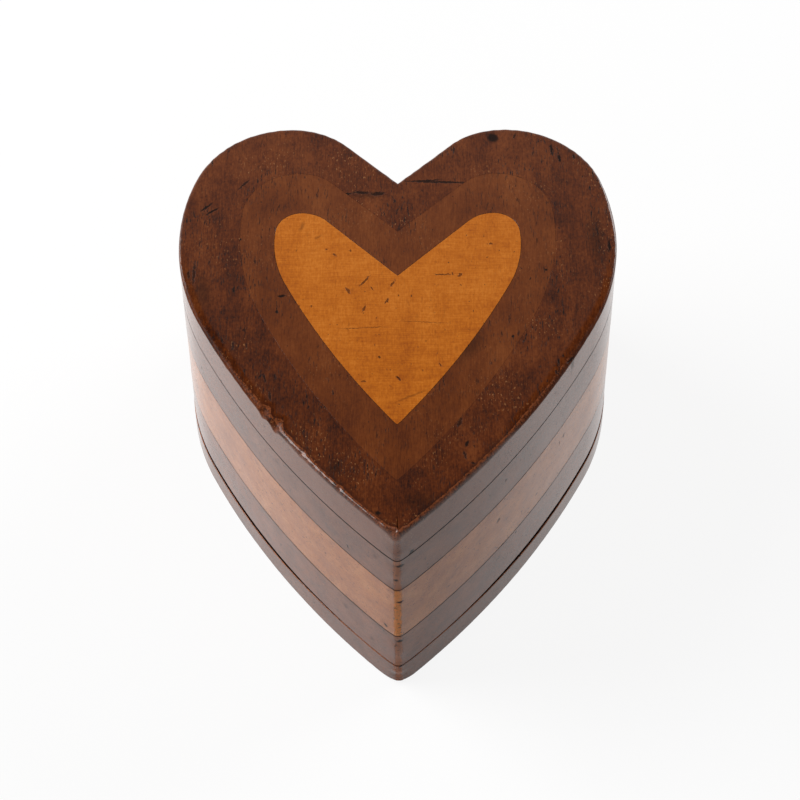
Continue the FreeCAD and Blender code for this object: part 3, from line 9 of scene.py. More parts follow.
import bmesh
import bpy
import numpy as np
from mathutils import Matrix, Vector


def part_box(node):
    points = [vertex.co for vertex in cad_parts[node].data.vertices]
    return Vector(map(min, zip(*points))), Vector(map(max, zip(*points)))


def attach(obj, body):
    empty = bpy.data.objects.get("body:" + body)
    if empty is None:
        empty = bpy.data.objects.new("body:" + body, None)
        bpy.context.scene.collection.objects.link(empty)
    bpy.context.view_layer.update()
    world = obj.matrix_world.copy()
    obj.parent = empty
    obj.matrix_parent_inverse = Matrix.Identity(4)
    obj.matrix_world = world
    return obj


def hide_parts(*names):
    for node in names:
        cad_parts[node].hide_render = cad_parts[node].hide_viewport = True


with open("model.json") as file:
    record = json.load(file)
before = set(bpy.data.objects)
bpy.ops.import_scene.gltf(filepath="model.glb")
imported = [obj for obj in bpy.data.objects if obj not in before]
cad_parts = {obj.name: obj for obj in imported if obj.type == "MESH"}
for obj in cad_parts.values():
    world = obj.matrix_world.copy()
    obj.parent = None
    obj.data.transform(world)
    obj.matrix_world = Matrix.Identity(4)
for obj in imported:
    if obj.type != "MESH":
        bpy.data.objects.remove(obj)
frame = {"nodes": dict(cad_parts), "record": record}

# A heart-shaped wooden music box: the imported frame, dressed for a studio picture.
# Metres, +Z up, the heart's point towards -Y and its hinges towards +Y.

LOG = logging.getLogger("music_box")
MM = 0.001
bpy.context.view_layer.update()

Array = np.ndarray
Colour = tuple[float, float, float]
Material, Node, Object, Socket = bpy.types.Material, bpy.types.Node, bpy.types.Object, bpy.types.NodeSocket
Number = Union["Value", float, int]


# Shader maths

class Value:
    """A number that varies over a surface: one socket, whose operators add Math nodes."""

    def __init__(self, paint: "Paint", socket: Socket) -> None:
        """Keep the socket and the paint whose tree holds it."""
        self.paint = paint
        self.socket = socket

    def math(self, operation: str, *operands: Number) -> "Value":
        """Add one Math node.

        Args:
            operation: The Math node's operation.
            operands: The node's inputs in order.

        Returns:
            The node's result.
        """
        made = self.paint.node("ShaderNodeMath", {"operation": operation}, dict(enumerate(operands)))
        return Value(self.paint, made.outputs[0])

    def __add__(self, other: Number) -> "Value":
        """Sum."""
        return self.math("ADD", self, other)

    __radd__ = __add__

    def __sub__(self, other: Number) -> "Value":
        """Difference."""
        return self.math("SUBTRACT", self, other)

    def __rsub__(self, other: Number) -> "Value":
        """Difference from a plain number."""
        return self.math("SUBTRACT", other, self)

    def __mul__(self, other: Number) -> "Value":
        """Product."""
        return self.math("MULTIPLY", self, other)

    def __truediv__(self, other: Number) -> "Value":
        """Quotient."""
        return self.math("DIVIDE", self, other)

    def most(self, other: Number) -> "Value":
        """The larger of two."""
        return self.math("MAXIMUM", self, other)

    def least(self, other: Number) -> "Value":
        """The smaller of two."""
        return self.math("MINIMUM", self, other)

    def stirred(self, noise: "Value", strength: float) -> "Value":
        """This number made uneven by a noise about 0.5."""
        return self + (noise - 0.5) * strength

    def step(self, low: float, high: float) -> "Value":
        """A soft step.

        Args:
            low: Where the step is 0.
            high: Where the step is 1; it may be the smaller one.

        Returns:
            0 to 1, eased at both ends.
        """
        made = self.paint.node("ShaderNodeMapRange", {"interpolation_type": "SMOOTHSTEP", "clamp": True},
                               {"Value": self, "From Min": low, "From Max": high})
        return Value(self.paint, made.outputs["Result"])


@dataclass(frozen=True)
class Pattern:
    """A cloudy noise.

    Attributes:
        size: Size of its features along each axis, in millimetres.
        detail: Octaves.
        roughness: Share of each finer octave.
        shift: Offset in features, so that two patterns differ.
        cut: Values of the noise where its patches begin and where they are full.
    """

    size: tuple[float, float, float]
    detail: float = 2.0
    roughness: float = 0.5
    shift: tuple[float, float, float] = (0.0, 0.0, 0.0)
    cut: tuple[float, float] = (0.0, 1.0)


TANGLE = Pattern((1.2, 1.2, 1.2))


class Paint:
    """The nodes of one material, or of the world."""

    def __init__(self, name: str, world: bool = False) -> None:
        """Start an empty material with a Principled shader, or an empty world.

        Args:
            name: Name of the material or world.
            world: Whether it is a world.
        """
        self.owner = bpy.data.worlds.new(name) if world else bpy.data.materials.new(name)
        self.owner.use_nodes = True
        self.tree = self.owner.node_tree
        self.tree.nodes.clear()
        self.output = self.tree.nodes.new("ShaderNodeOutputWorld" if world else "ShaderNodeOutputMaterial")
        self._place: Optional[Socket] = None
        if not world:
            self.shader = self.node("ShaderNodeBsdfPrincipled")
            self.show(self.shader)

    def show(self, shader: Node) -> None:
        """Let a shader be what is seen."""
        self.tree.links.new(shader.outputs[0], self.output.inputs["Surface"])

    def path(self, name: str) -> Value:
        """Whether a ray is of the named kind."""
        return Value(self, self.node("ShaderNodeLightPath").outputs[name])

    def shared(self, share: Number, first: Node, second: Node) -> Node:
        """Two shaders mixed by a share from 0 to 1."""
        return self.node("ShaderNodeMixShader", None, {0: share, 1: first.outputs[0], 2: second.outputs[0]})

    def node(self, kind: str, settings: Optional[dict] = None, inputs: Optional[dict] = None) -> Node:
        """Add any node.

        Args:
            kind: The node's type.
            settings: Attributes that are set first; "stops" fills a colour ramp.
            inputs: Values or links by socket name, identifier or number.

        Returns:
            The new node.
        """
        made = self.tree.nodes.new(kind)
        for name, setting in (settings or {}).items():
            if name == "stops":
                self._fill_ramp(made.color_ramp, setting)
            else:
                setattr(made, name, setting)
        for key, item in (inputs or {}).items():
            self.feed(made, key, item)
        return made

    @staticmethod
    def _fill_ramp(ramp: bpy.types.ColorRamp, stops: Sequence[tuple[float, Colour]]) -> None:
        """Give a colour ramp its stops.

        Args:
            ramp: The ramp.
            stops: Positions with their colours.
        """
        while len(ramp.elements) < len(stops):
            ramp.elements.new(1.0)
        for element, (position, colour) in zip(ramp.elements, stops):
            element.position = position
            element.color = (*colour, 1.0)

    def feed(self, made: Node, key: Union[str, int], item: object) -> None:
        """Set or link one input.

        Args:
            made: The node.
            key: Socket name, identifier or number.
            item: A Value, a socket, a number, a colour or a vector.
        """
        socket = made.inputs[key] if isinstance(key, int) else None
        if socket is None:
            matches = [s for s in made.inputs if s.identifier == key]
            socket = matches[0] if matches else made.inputs[key]
        if isinstance(item, Value):
            item = item.socket
        if isinstance(item, Socket):
            self.tree.links.new(item, socket)
        elif socket.type == "RGBA":
            socket.default_value = (*item, 1.0)
        else:
            socket.default_value = item

    def dress(self, **inputs: object) -> Material:
        """Feed the Principled shader.

        Args:
            inputs: What each socket gets, with underscores for the spaces in its name.

        Returns:
            The finished material.
        """
        for name, item in inputs.items():
            self.feed(self.shader, name.replace("_", " "), item)
        return self.owner

    @property
    def place(self) -> Socket:
        """Object coordinates, in metres.

        Returns:
            The socket, made when it is first asked for.
        """
        if self._place is None:
            self._place = self.node("ShaderNodeTexCoord").outputs["Object"]
        return self._place

    def axes(self, vector: Socket) -> tuple[Value, Value, Value]:
        """Split a vector into its three numbers."""
        made = self.node("ShaderNodeSeparateXYZ", None, {"Vector": vector})
        return tuple(Value(self, made.outputs[letter]) for letter in "XYZ")

    def cloud(self, pattern: Pattern, vector: Socket) -> Node:
        """A noise node that reads a pattern at the given coordinates.

        Args:
            pattern: The noise.
            vector: Coordinates in metres.

        Returns:
            The node.
        """
        factors = tuple(1.0 / (size * MM) for size in pattern.size)
        mapped = self.node("ShaderNodeMapping", None, {"Vector": vector, "Scale": factors, "Location": pattern.shift})
        return self.node("ShaderNodeTexNoise", {"noise_dimensions": "3D"},
                         {"Vector": mapped.outputs["Vector"], "Scale": 1.0, "Detail": pattern.detail,
                          "Roughness": pattern.roughness})

    def noise(self, pattern: Pattern, vector: Optional[Socket] = None) -> Value:
        """The value of a pattern.

        Args:
            pattern: The noise.
            vector: Coordinates in metres, if they aren't the piece's own.

        Returns:
            A number about 0.5.
        """
        return Value(self, self.cloud(pattern, self.place if vector is None else vector).outputs["Fac"])

    def patches(self, pattern: Pattern) -> Value:
        """A pattern cut into patches: 0 between them and 1 inside."""
        return self.noise(pattern).step(*pattern.cut)

    def warped(self, reach: float) -> Socket:
        """Object coordinates pushed about by noise, so that edges drawn on them turn ragged.

        Args:
            reach: How far a point may move.

        Returns:
            The moved coordinates.
        """
        noise = self.cloud(TANGLE, self.place)
        centred = self.node("ShaderNodeVectorMath", {"operation": "SUBTRACT"},
                            {0: noise.outputs["Color"], 1: (0.5, 0.5, 0.5)}).outputs["Vector"]
        push = self.node("ShaderNodeVectorMath", {"operation": "SCALE"},
                         {"Vector": centred, "Scale": 2.0 * reach}).outputs["Vector"]
        return self.node("ShaderNodeVectorMath", {"operation": "ADD"}, {0: self.place, 1: push}).outputs["Vector"]

    def ellipse(self, vector: Socket, middle: Sequence[float], size: Sequence[float],
                turn: float) -> Value:
        """Distance from a point, counted so that it is 1 on an ellipse.

        Args:
            vector: Coordinates in metres.
            middle: Centre of the ellipse.
            size: Its half axes.
            turn: Its turn about Z, in degrees.

        Returns:
            0 at the centre, 1 on the edge.
        """
        mapped = self.node("ShaderNodeMapping", {"vector_type": "TEXTURE"},
                           {"Vector": vector, "Location": tuple(middle),
                            "Rotation": (0.0, 0.0, math.radians(turn)), "Scale": tuple(size)})
        length = self.node("ShaderNodeVectorMath", {"operation": "LENGTH"}, {0: mapped.outputs["Vector"]})
        return Value(self, length.outputs["Value"])

    def mix(self, factor: Number, first: object, second: object) -> Socket:
        """Blend two colours.

        Args:
            factor: 0 gives the first and 1 the second.
            first: A colour or a socket.
            second: A colour or a socket.

        Returns:
            The blended colour.
        """
        made = self.node("ShaderNodeMix", {"data_type": "RGBA", "clamp_factor": True},
                         {"Factor_Float": factor, "A_Color": first, "B_Color": second})
        return next(s for s in made.outputs if s.identifier == "Result_Color")

    def ramp(self, value: Value, stops: Sequence[tuple[float, Colour]]) -> Socket:
        """A colour read off a row of stops."""
        return self.node("ShaderNodeValToRGB", {"stops": stops}, {"Fac": value}).outputs["Color"]

    def attribute(self, name: str) -> Value:
        """One of the piece's own numbers, stored on its points."""
        made = self.node("ShaderNodeAttribute", {"attribute_name": name})
        return Value(self, made.outputs["Fac"])

    def relief(self, height: Value) -> Socket:
        """The normal of a surface raised by a height in millimetres."""
        return self.node("ShaderNodeBump", None,
                         {"Strength": 1.0, "Distance": MM, "Height": height}).outputs["Normal"]


# Wear and finishes

class Mark(Enum):
    """How a scar looks: the share by which it darkens, its depth in millimetres and the size of its full core."""

    DENT = (0.75, 0.22, 0.45)
    CRACK = (0.86, 0.3, 0.45)
    STAIN = (0.45, 0.0, 0.1)
    BURN = (0.93, 0.08, 0.45)


@dataclass(frozen=True)
class Scar:
    """One mark of wear on a board, as a ragged ellipse.

    Attributes:
        kind: How it looks.
        x: Middle, in millimetres.
        y: Middle, in millimetres.
        length: Long axis, in millimetres.
        width: Short axis, in millimetres.
        turn: Turn of the long axis from +X, in degrees.
        drop: How far its middle lies below the board's top, in millimetres.
        tall: Its height, in millimetres.
    """

    kind: Mark
    x: float
    y: float
    length: float
    width: float
    turn: float = 0.0
    drop: float = 0.0
    tall: float = 24.0

    def reach(self, paint: Paint, vector: Socket, level: float) -> Value:
        """Distance from its middle, counted so that it is 1 on its edge.

        Args:
            paint: The material being made.
            vector: Coordinates in metres.
            level: Height of the board's top.

        Returns:
            The distance.
        """
        half = (self.length / 2 * MM, self.width / 2 * MM, self.tall / 2 * MM)
        return paint.ellipse(vector, (self.x * MM, self.y * MM, level - self.drop * MM), half, self.turn)


def marks(kind: Mark, *rows: tuple[float, ...]) -> tuple[Scar, ...]:
    """Scars of one kind, from rows with a Scar's other numbers in order."""
    return tuple(Scar(kind, *row) for row in rows)


DARK_SCARS = (
    *marks(Mark.DENT, (41.2, 79.3, 3.4, 1.0, 72.0), (19.7, 72.9, 4.0, 0.9, 89.0), (61.7, 69.7, 3.2, 1.0, 88.0),
           (-64.9, 68.4, 7.0, 0.8, -88.0), (-69.1, 18.0, 14.0, 1.2, 90.0), (-70.8, 17.4, 5.1, 1.1, -87.0),
           (-53.5, 57.3, 7.0, 1.1, 49.0), (-54.8, -12.8, 4.6, 0.9, -82.0), (-58.7, -10.4, 3.5, 0.9, -77.0),
           (-42.0, -33.5, 5.0, 1.1, -83.0), (-43.8, -26.5, 4.5, 0.9, -83.0), (52.8, -24.2, 2.3, 1.0, -80.0),
           (57.7, -18.7, 5.1, 0.9, 50.0), (22.2, -57.6, 4.4, 1.0, -76.0), (20.6, -44.4, 5.6, 1.4, 67.0)),
    *marks(Mark.CRACK, (-18.0, 52.9, 6.0, 1.3, 8.0), (-12.5, 53.6, 8.0, 1.7, -4.0), (-7.0, 53.0, 7.0, 2.2, 6.0),
           (14.0, 58.3, 28.0, 1.1, -2.0), (9.0, 58.9, 16.0, 0.8, 3.0), (24.8, 58.1, 9.1, 0.9, 25.0)),
    *marks(Mark.STAIN, (-10.0, 52.4, 20.0, 4.6, 1.0), (-66.0, 10.0, 9.0, 24.0, 12.0), (68.0, 34.0, 9.0, 34.0, 2.0),
           (-20.0, -62.0, 10.0, 7.0, 40.0), (8.0, -75.0, 16.0, 11.0, 0.0)),
    *marks(Mark.BURN, (-66.0, 47.2, 7.6, 1.2, 43.0), (-64.0, 45.3, 6.6, 1.1, 37.0), (33.4, 78.6, 5.0, 6.0, 12.0),
           (41.8, 60.3, 2.6, 1.5, -5.0), (53.8, 73.1, 6.4, 1.1, 88.0), (56.5, 69.0, 4.8, 1.4, -85.0),
           (72.4, 29.7, 6.7, 1.4, -87.0), (-6.0, -80.0, 2.4, 2.2, 0.0), (53.6, -19.6, 2.8, 1.0, -88.0),
           (24.6, -60.5, 1.8, 1.3, 0.0), (22.7, -53.0, 3.6, 1.7, 69.0), (4.6, -85.2, 3.0, 2.6, 49.0, 14.4, 2.6)),
)

UPPER_SCARS = (
    *marks(Mark.DENT, (-37.4, -49.2, 1.1, 1.2, 128.0, 2.2, 0.9), (-67.4, -1.3, 1.6, 1.4, 100.0, 12.3, 1.6),
           (-16.3, -73.7, 1.2, 1.4, 131.0, 13.4, 2.4), (35.9, -51.2, 1.8, 1.4, 52.0, 8.0, 2.0),
           (9.8, -80.2, 1.1, 1.2, 49.0, 13.8, 1.2)),
    *marks(Mark.STAIN, (-40.0, -45.9, 5.0, 2.0, 128.0, 5.0, 1.8), (-7.2, -82.7, 2.6, 2.0, 131.0, 5.6, 4.0),
           (9.0, -81.0, 2.4, 1.8, 49.0, 9.5, 3.4)),
    *marks(Mark.BURN, (1.0, -88.0, 4.0, 3.4, 20.0, 3.4, 2.0), (-0.4, -88.3, 2.6, 2.8, 0.0, 11.6, 1.7)),
)

LIGHT_SCARS = (
    *marks(Mark.DENT, (-24.3, -65.1, 1.1, 1.2, 131.0, 13.1, 1.0), (56.7, -20.8, 1.8, 1.4, 62.0, 7.4, 3.2),
           (55.2, -23.2, 1.2, 1.4, 62.0, 8.6, 2.6), (33.9, -53.7, 2.6, 1.4, 52.0, 10.5, 2.8)),
    *marks(Mark.BURN, (0.9, -88.1, 3.8, 3.2, 0.0, 7.6, 1.7), (-4.1, -85.7, 2.0, 1.4, 131.0, 25.7, 2.0)),
)

LOWER_SCARS = (
    *marks(Mark.DENT, (40.5, -45.1, 1.4, 1.4, 55.0, 1.8, 1.0)),
    *marks(Mark.STAIN, (-17.9, -72.0, 4.4, 1.8, 131.0, 6.6, 3.6), (-9.0, -81.0, 3.4, 1.8, 131.0, 13.0, 4.4)),
    *marks(Mark.BURN, (0.8, -88.2, 4.0, 3.4, 0.0, 3.4, 2.1)),
)

BAND_SCARS = (
    *marks(Mark.DENT, (-24.1, -37.9, 3.8, 0.9, -50.0), (-21.2, -32.4, 2.3, 0.8, -89.0)),
    *marks(Mark.STAIN, (44.6, -12.1, 4.0, 2.2, -46.0), (24.0, -14.0, 22.0, 9.0, 52.0)),
    *marks(Mark.BURN, (-39.2, 8.2, 3.8, 1.4, 0.0), (-40.6, 1.3, 1.5, 1.5, 0.0), (50.3, 19.2, 1.3, 1.3, 0.0),
           (-54.0, 33.0, 1.3, 1.5, 0.0), (38.6, -9.1, 1.3, 1.2, 0.0)),
)

PALE_SCARS = (
    *marks(Mark.DENT, (-11.0, 14.5, 7.2, 1.0, 54.0), (-16.7, 10.4, 4.0, 1.1, -60.0), (-11.2, 2.7, 3.6, 1.0, 70.0),
           (-1.6, 13.2, 3.4, 1.1, 66.0), (-3.6, 5.9, 3.5, 1.1, 67.0), (21.2, 17.0, 2.3, 1.0, 51.0),
           (32.0, 30.7, 1.6, 1.2, 0.0), (-24.1, 28.3, 1.4, 0.8, 23.0), (-21.4, 25.9, 1.8, 0.8, -37.0),
           (-8.6, 11.3, 2.4, 0.5, -52.0), (14.3, -20.9, 2.2, 0.8, -44.0), (-11.1, -27.8, 2.2, 0.8, -12.0)),
    *marks(Mark.CRACK, (15.5, 17.3, 6.8, 0.6, 0.0), (-12.0, -5.5, 20.0, 0.16, 3.0), (9.0, -3.0, 18.0, 0.14, -4.0)),
    *marks(Mark.STAIN, (-32.9, 38.5, 6.5, 2.2, 74.0), (-27.3, 33.8, 5.0, 1.8, 35.0), (4.6, -33.7, 18.0, 1.4, 26.0)),
    *marks(Mark.BURN, (0.3, -26.5, 3.2, 1.2, -51.0)),
)


# Patterns and colours of old varnished wood
GRAIN = Pattern((0.5, 5.5, 0.5), 4.0, 0.65)
FIGURE = Pattern((7, 60, 7), 3.0, 0.55)
MOTTLE = Pattern((13, 19, 13), 6.0, 0.68, (3.1, 1.7, 0.4))
SPECKLE = Pattern((0.8, 1.3, 0.8), 3.0, 0.7, (8.0, 3.0, 2.0))
FINE_RIPPLE = Pattern((6, 0.42, 6), 2.0, 0.6, (0.3, 0.2, 0.7))
BROAD_RIPPLE = Pattern((15, 2.4, 15), 2.0, 0.5, (1.3, 0.2, 2.7))
PORES = Pattern((0.42, 3.0, 0.42), 1.5, 0.5, (5.0, 2.0, 1.0), (0.6, 0.7))
PORE_CLUSTERS = Pattern((14, 20, 14), 2.0, 0.5, (4.0, 4.0, 0.0), (0.4, 0.62))
NICKS = Pattern((1.3, 2.4, 1.0), 2.0, 0.6, (9.0, 1.0, 3.0))
RAGGED = Pattern((2.2, 2.2, 1.2), 3.0, 0.6)
OCHRE = Pattern((0.55, 1.3, 0.55), 1.0, 0.5, (7.0, 7.0, 7.0), (0.64, 0.71))
DUST = Pattern((17, 17, 17), 2.0, 0.5, (2.0, 8.0, 1.0), (0.46, 0.66))
SMUDGES = Pattern((8, 8, 5), 5.0, 0.65, (6.0, 2.0, 4.0), (0.52, 0.78))
BITES = Pattern((1.0, 1.0, 3.2), 4.0, 0.65, (2.0, 0.0, 9.0))
NOTCHES = Pattern((1.9, 1.9, 0.8), 2.0, 0.6, (1.0, 3.0, 5.0), (0.62, 0.69))
SWELL = Pattern((38, 38, 38), 1.0, 0.5, (0.0, 4.0, 2.0))
SKIN_MARKS = Pattern((1.9, 1.9, 1.9), 3.0, 0.6)
HAZE = Pattern((11, 11, 11), 4.0, 0.65, (1.0, 5.0, 3.0))
TONES = (0.1, 0.5, 0.9)
RIM_STAIN: Colour = (0.021, 0.0040, 0.0012)
# Near black of soiling, pores and scars; it also paints the shade on the floor of the open joint above the base
GRIME_AND_SHADE: Colour = (0.006, 0.003, 0.002)

# Where each kind of wear, and the painted shade in the open joint, begins and where it is full, and how far noise
# shifts its edge
RIM_FADE, RIM_RAGGED = (0.25, 1.05), 1.3
GRIME_AND_SHADE_FADE, GRIME_AND_SHADE_RAGGED = (0.3, 0.75), 0.4
BARE_FADE, BARE_RAGGED = (0.42, 0.85), 1.5
BARE_FROM, NOTCHED_FROM, DULL_RIM_FROM = (0.02, 0.2), (0.35, 0.7), (0.05, 0.4)
NICK_EDGE = 0.06
SCAR_RAGGED = 0.6 * MM

# The same along the box, as y in metres, with the length that fading is counted over
FRONT, SIDES_FROM, SIDES_TO = (0.02, -0.06), (-0.053, -0.043), (0.035, 0.005)
FADED_LENGTH = 0.1

# The same below a board's top, in millimetres
FLANK_DROP = (0.9, 2.4)

# Shares: a colour's strength with what the tone or the front adds, and what takes the gloss or the light away
FLANK_SHARE, RIM_SHARE, CLUSTER_SHARE = (0.65, 0.5), (0.12, 0.4), (0.2, 0.8)
PORE_DULL, RIM_DULL, SCAR_DULL = 0.4, 0.97, 0.6
GRIME_AND_SHADE_COVER, NOTCH_COVER, NICK_COVER = 0.97, 0.85, 0.75

# Heights of the relief, in millimetres
GRAIN_RISE, SWELL_RISE, SKIN_RISE = 0.03, 0.5, 0.035
PORE_DEPTH, BARE_DEPTH = 0.05, 0.1

# The body's sheen, the varnish on it and what haze and wear add to its roughness
BODY_SHEEN, COAT_ROUGHNESS, COAT_IOR = 0.05, 0.15, 1.5
HAZE_ROUGH, BARE_ROUGH = 0.3, 0.2


@dataclass(frozen=True)
class Varnished:
    """Old varnished wood, with its grain along Y.

    Attributes:
        name: Name of the wood.
        dark: Colour of the dark streaks.
        middle: Main colour.
        pale: Colour of the pale streaks.
        bare: Colour where the varnish has worn off.
        figure: Strength of the broad figure.
        grain: Strength of the fine streaks.
        pores: Strength of the dark pore dashes.
        ripple: Strength of the fine ripple across the grain.
        mottle: Strength of the cloudy patches.
        flecks: Strength of the pale flecks.
        fleck: Their colour.
        speckle: Strength of the fine speckle.
        nicked: Share of the noise that makes nicks; a lower one makes more.
        smudges: Strength of the dark smudges.
        scar_tint: Colour of the bottom of a scar.
        worn: How bare the rubbed places are.
        dry: How much varnish is lost there.
        fading: How much paler the wood is towards the hinges.
        flank: Colour of the faded side below the top, if it differs.
        roughness: Roughness under the varnish.
    """

    name: str
    dark: Colour
    middle: Colour
    pale: Colour
    bare: Colour
    figure: float = 1.0
    grain: float = 0.8
    pores: float = 0.6
    ripple: float = 0.0
    mottle: float = 1.3
    flecks: float = 0.4
    fleck: Colour = (0.30, 0.125, 0.045)
    speckle: float = 0.3
    nicked: float = 0.68
    smudges: float = 0.3
    scar_tint: Colour = GRIME_AND_SHADE
    worn: float = 0.7
    dry: float = 0.8
    fading: float = 0.0
    flank: Optional[Colour] = None
    roughness: float = 0.42

    def material(self, level: float, scars: Sequence[Scar] = ()) -> Material:
        """Build the material for one board.

        The tone is a sum of noises: broad figure, fine streaks, mottling and a ripple across the grain.
        Pores, nicks, scars and soiling darken it, painted shade blackens the floor of the open joint, the rim is
        stained, and rubbed places show bare wood.

        Args:
            level: Height of the board's top.
            scars: Marks of wear on it.

        Returns:
            The material.
        """
        paint = Paint(self.name)
        _, y, z = paint.axes(paint.place)
        grain = paint.noise(GRAIN)
        tone = self._tone(paint, grain)
        colour = paint.ramp(tone, tuple(zip(TONES, (self.dark, self.middle, self.pale))))
        if self.flank:
            side = ((level - z) / MM).step(*FLANK_DROP)
            colour = paint.mix(side * (FLANK_SHARE[0] + tone * FLANK_SHARE[1]), colour, self.flank)
        ragged = paint.noise(RAGGED)
        rim = paint.attribute("rim")
        stain = rim.stirred(ragged, RIM_RAGGED).step(*RIM_FADE)
        colour = paint.mix(stain * (RIM_SHARE[0] + y.step(*FRONT) * RIM_SHARE[1]), colour, RIM_STAIN)
        colour = paint.mix(paint.patches(OCHRE) * paint.patches(DUST) * self.flecks, colour, self.fleck)
        pore = self._pores(paint)
        # Soiling in the seams, and painted shade that blackens the floor of the open joint above the base
        dirt_and_shade = paint.attribute("grime").stirred(ragged, GRIME_AND_SHADE_RAGGED).step(*GRIME_AND_SHADE_FADE) * GRIME_AND_SHADE_COVER
        smudge = paint.patches(SMUDGES)
        shade = (1.0 - pore) * (1.0 - dirt_and_shade) * (1.0 - smudge * self.smudges)
        height = (grain - 0.5) * GRAIN_RISE - pore * PORE_DEPTH
        along = y.step(*SIDES_FROM) * y.step(*SIDES_TO)
        gloss = (1.0 - pore * PORE_DULL) * (1.0 - dirt_and_shade) * (1.0 - rim.step(*DULL_RIM_FROM) * along * RIM_DULL)
        bite = paint.noise(BITES)
        rubbed = paint.attribute("rubbed")
        bare = rubbed.stirred(bite, BARE_RAGGED).step(*BARE_FADE) * self.worn * rubbed.step(*BARE_FROM)
        colour = paint.mix(bare, colour, self.bare)
        if scars:
            dark, deep = self._scarred(paint, scars, level)
            colour = paint.mix(dark, colour, self.scar_tint)
            height = height - deep
            gloss = gloss * (1.0 - dark * SCAR_DULL)
        shade = shade * (1.0 - paint.patches(NOTCHES) * rubbed.step(*NOTCHED_FROM) * NOTCH_COVER)
        colour = paint.mix(1.0 - shade, colour, GRIME_AND_SHADE)
        swell, skin_marks = paint.noise(SWELL), paint.noise(SKIN_MARKS)
        height = height + swell * SWELL_RISE + skin_marks * SKIN_RISE - bare * BARE_DEPTH
        haze = paint.noise(HAZE)
        return paint.dress(
            Base_Color=colour,
            Roughness=self.roughness + (haze - 0.5) * HAZE_ROUGH + bare * BARE_ROUGH,
            Specular_IOR_Level=BODY_SHEEN,
            Coat_Weight=(gloss * (1.0 - bare * self.dry)).most(0.0),
            Coat_Roughness=COAT_ROUGHNESS,
            Coat_IOR=COAT_IOR,
            Normal=paint.relief(height),
        )

    def _tone(self, paint: Paint, grain: Value) -> Value:
        """The wood's tone, about 0.5.

        Args:
            paint: The material being made.
            grain: The fine streaks.

        Returns:
            0 in the dark streaks and 1 in the pale ones.
        """
        figure, mottle, speckle = paint.noise(FIGURE), paint.noise(MOTTLE), paint.noise(SPECKLE)
        tone = (figure - 0.5) * self.figure + 0.5
        tone = tone.stirred(grain, self.grain).stirred(mottle, self.mottle).stirred(speckle, self.speckle)
        if self.fading:
            tone = tone + paint.axes(paint.place)[1] * (self.fading / FADED_LENGTH)
        if self.ripple:
            fine, broad = paint.noise(FINE_RIPPLE), paint.noise(BROAD_RIPPLE)
            tone = tone.stirred(fine, self.ripple).stirred(broad, 0.5 * self.ripple)
        return tone

    def _pores(self, paint: Paint) -> Value:
        """Dark dashes along the grain in loose clusters, and sparse nicks.

        Args:
            paint: The material being made.

        Returns:
            How much they darken.
        """
        dashes, clusters = paint.patches(PORES), paint.patches(PORE_CLUSTERS)
        nicks = paint.noise(NICKS).step(self.nicked, self.nicked + NICK_EDGE)
        clustered = dashes * (clusters * CLUSTER_SHARE[1] + CLUSTER_SHARE[0])
        return (clustered * self.pores).most(nicks * NICK_COVER)

    @staticmethod
    def _scarred(paint: Paint, scars: Sequence[Scar], level: float) -> tuple[Value, Value]:
        """Sum up the scars of a board: for each kind, the mark at a spot is that of the nearest scar.

        Args:
            paint: The material being made.
            scars: The marks.
            level: Height of the top.

        Returns:
            How much they darken, and how deep they are in millimetres.
        """
        ragged = paint.warped(SCAR_RAGGED)
        shade: Optional[Value] = None
        depth: Optional[Value] = None
        for kind in Mark:
            own = [scar for scar in scars if scar.kind is kind]
            if not own:
                continue
            dark, deep, core = kind.value
            mark = reduce(Value.least, (scar.reach(paint, ragged, level) for scar in own)).step(1.0, core)
            shade = mark * dark if shade is None else shade.most(mark * dark)
            if deep:
                depth = mark * deep if depth is None else depth.most(mark * deep)
        return shade, depth


DARK_WOOD = Varnished("dark_wood", (0.025, 0.0040, 0.0006), (0.093, 0.0183, 0.0021), (0.169, 0.042, 0.0080),
                      (0.26, 0.068, 0.019), figure=0.6, grain=1.0, pores=0.95, mottle=1.3, flecks=0.85, speckle=0.9,
                      smudges=0.0, worn=0.8, dry=0.15, fading=0.12, flank=(0.172, 0.047, 0.0150))
RING_WOOD = Varnished("ring_wood", (0.085, 0.022, 0.007), (0.150, 0.040, 0.0125), (0.21, 0.065, 0.023),
                      (0.46, 0.150, 0.053), pores=0.5, nicked=0.65, smudges=0.45, worn=0.85, dry=0.5)
LOWER_WOOD = replace(RING_WOOD, name="lower_wood", dark=(0.100, 0.026, 0.008), middle=(0.178, 0.0465, 0.0140),
                     pale=(0.245, 0.075, 0.026))
LIGHT_WOOD = Varnished("light_wood", (0.29, 0.085, 0.022), (0.43, 0.138, 0.035), (0.55, 0.205, 0.063),
                       (0.88, 0.31, 0.080), pores=0.5, nicked=0.65, worn=1.0, dry=0.7)
BASE_WOOD = Varnished("base_wood", (0.085, 0.022, 0.008), (0.145, 0.039, 0.013), (0.20, 0.060, 0.022),
                      (0.45, 0.138, 0.046), pores=0.5, nicked=0.65, smudges=0.4, worn=0.85, dry=0.6)
BAND_WOOD = Varnished("band_wood", (0.060, 0.0110, 0.0016), (0.131, 0.0295, 0.0040), (0.201, 0.054, 0.0105),
                      (0.32, 0.12, 0.035), figure=0.6, grain=0.9, pores=0.7, mottle=1.0, speckle=0.45, smudges=0.0,
                      fading=0.12)
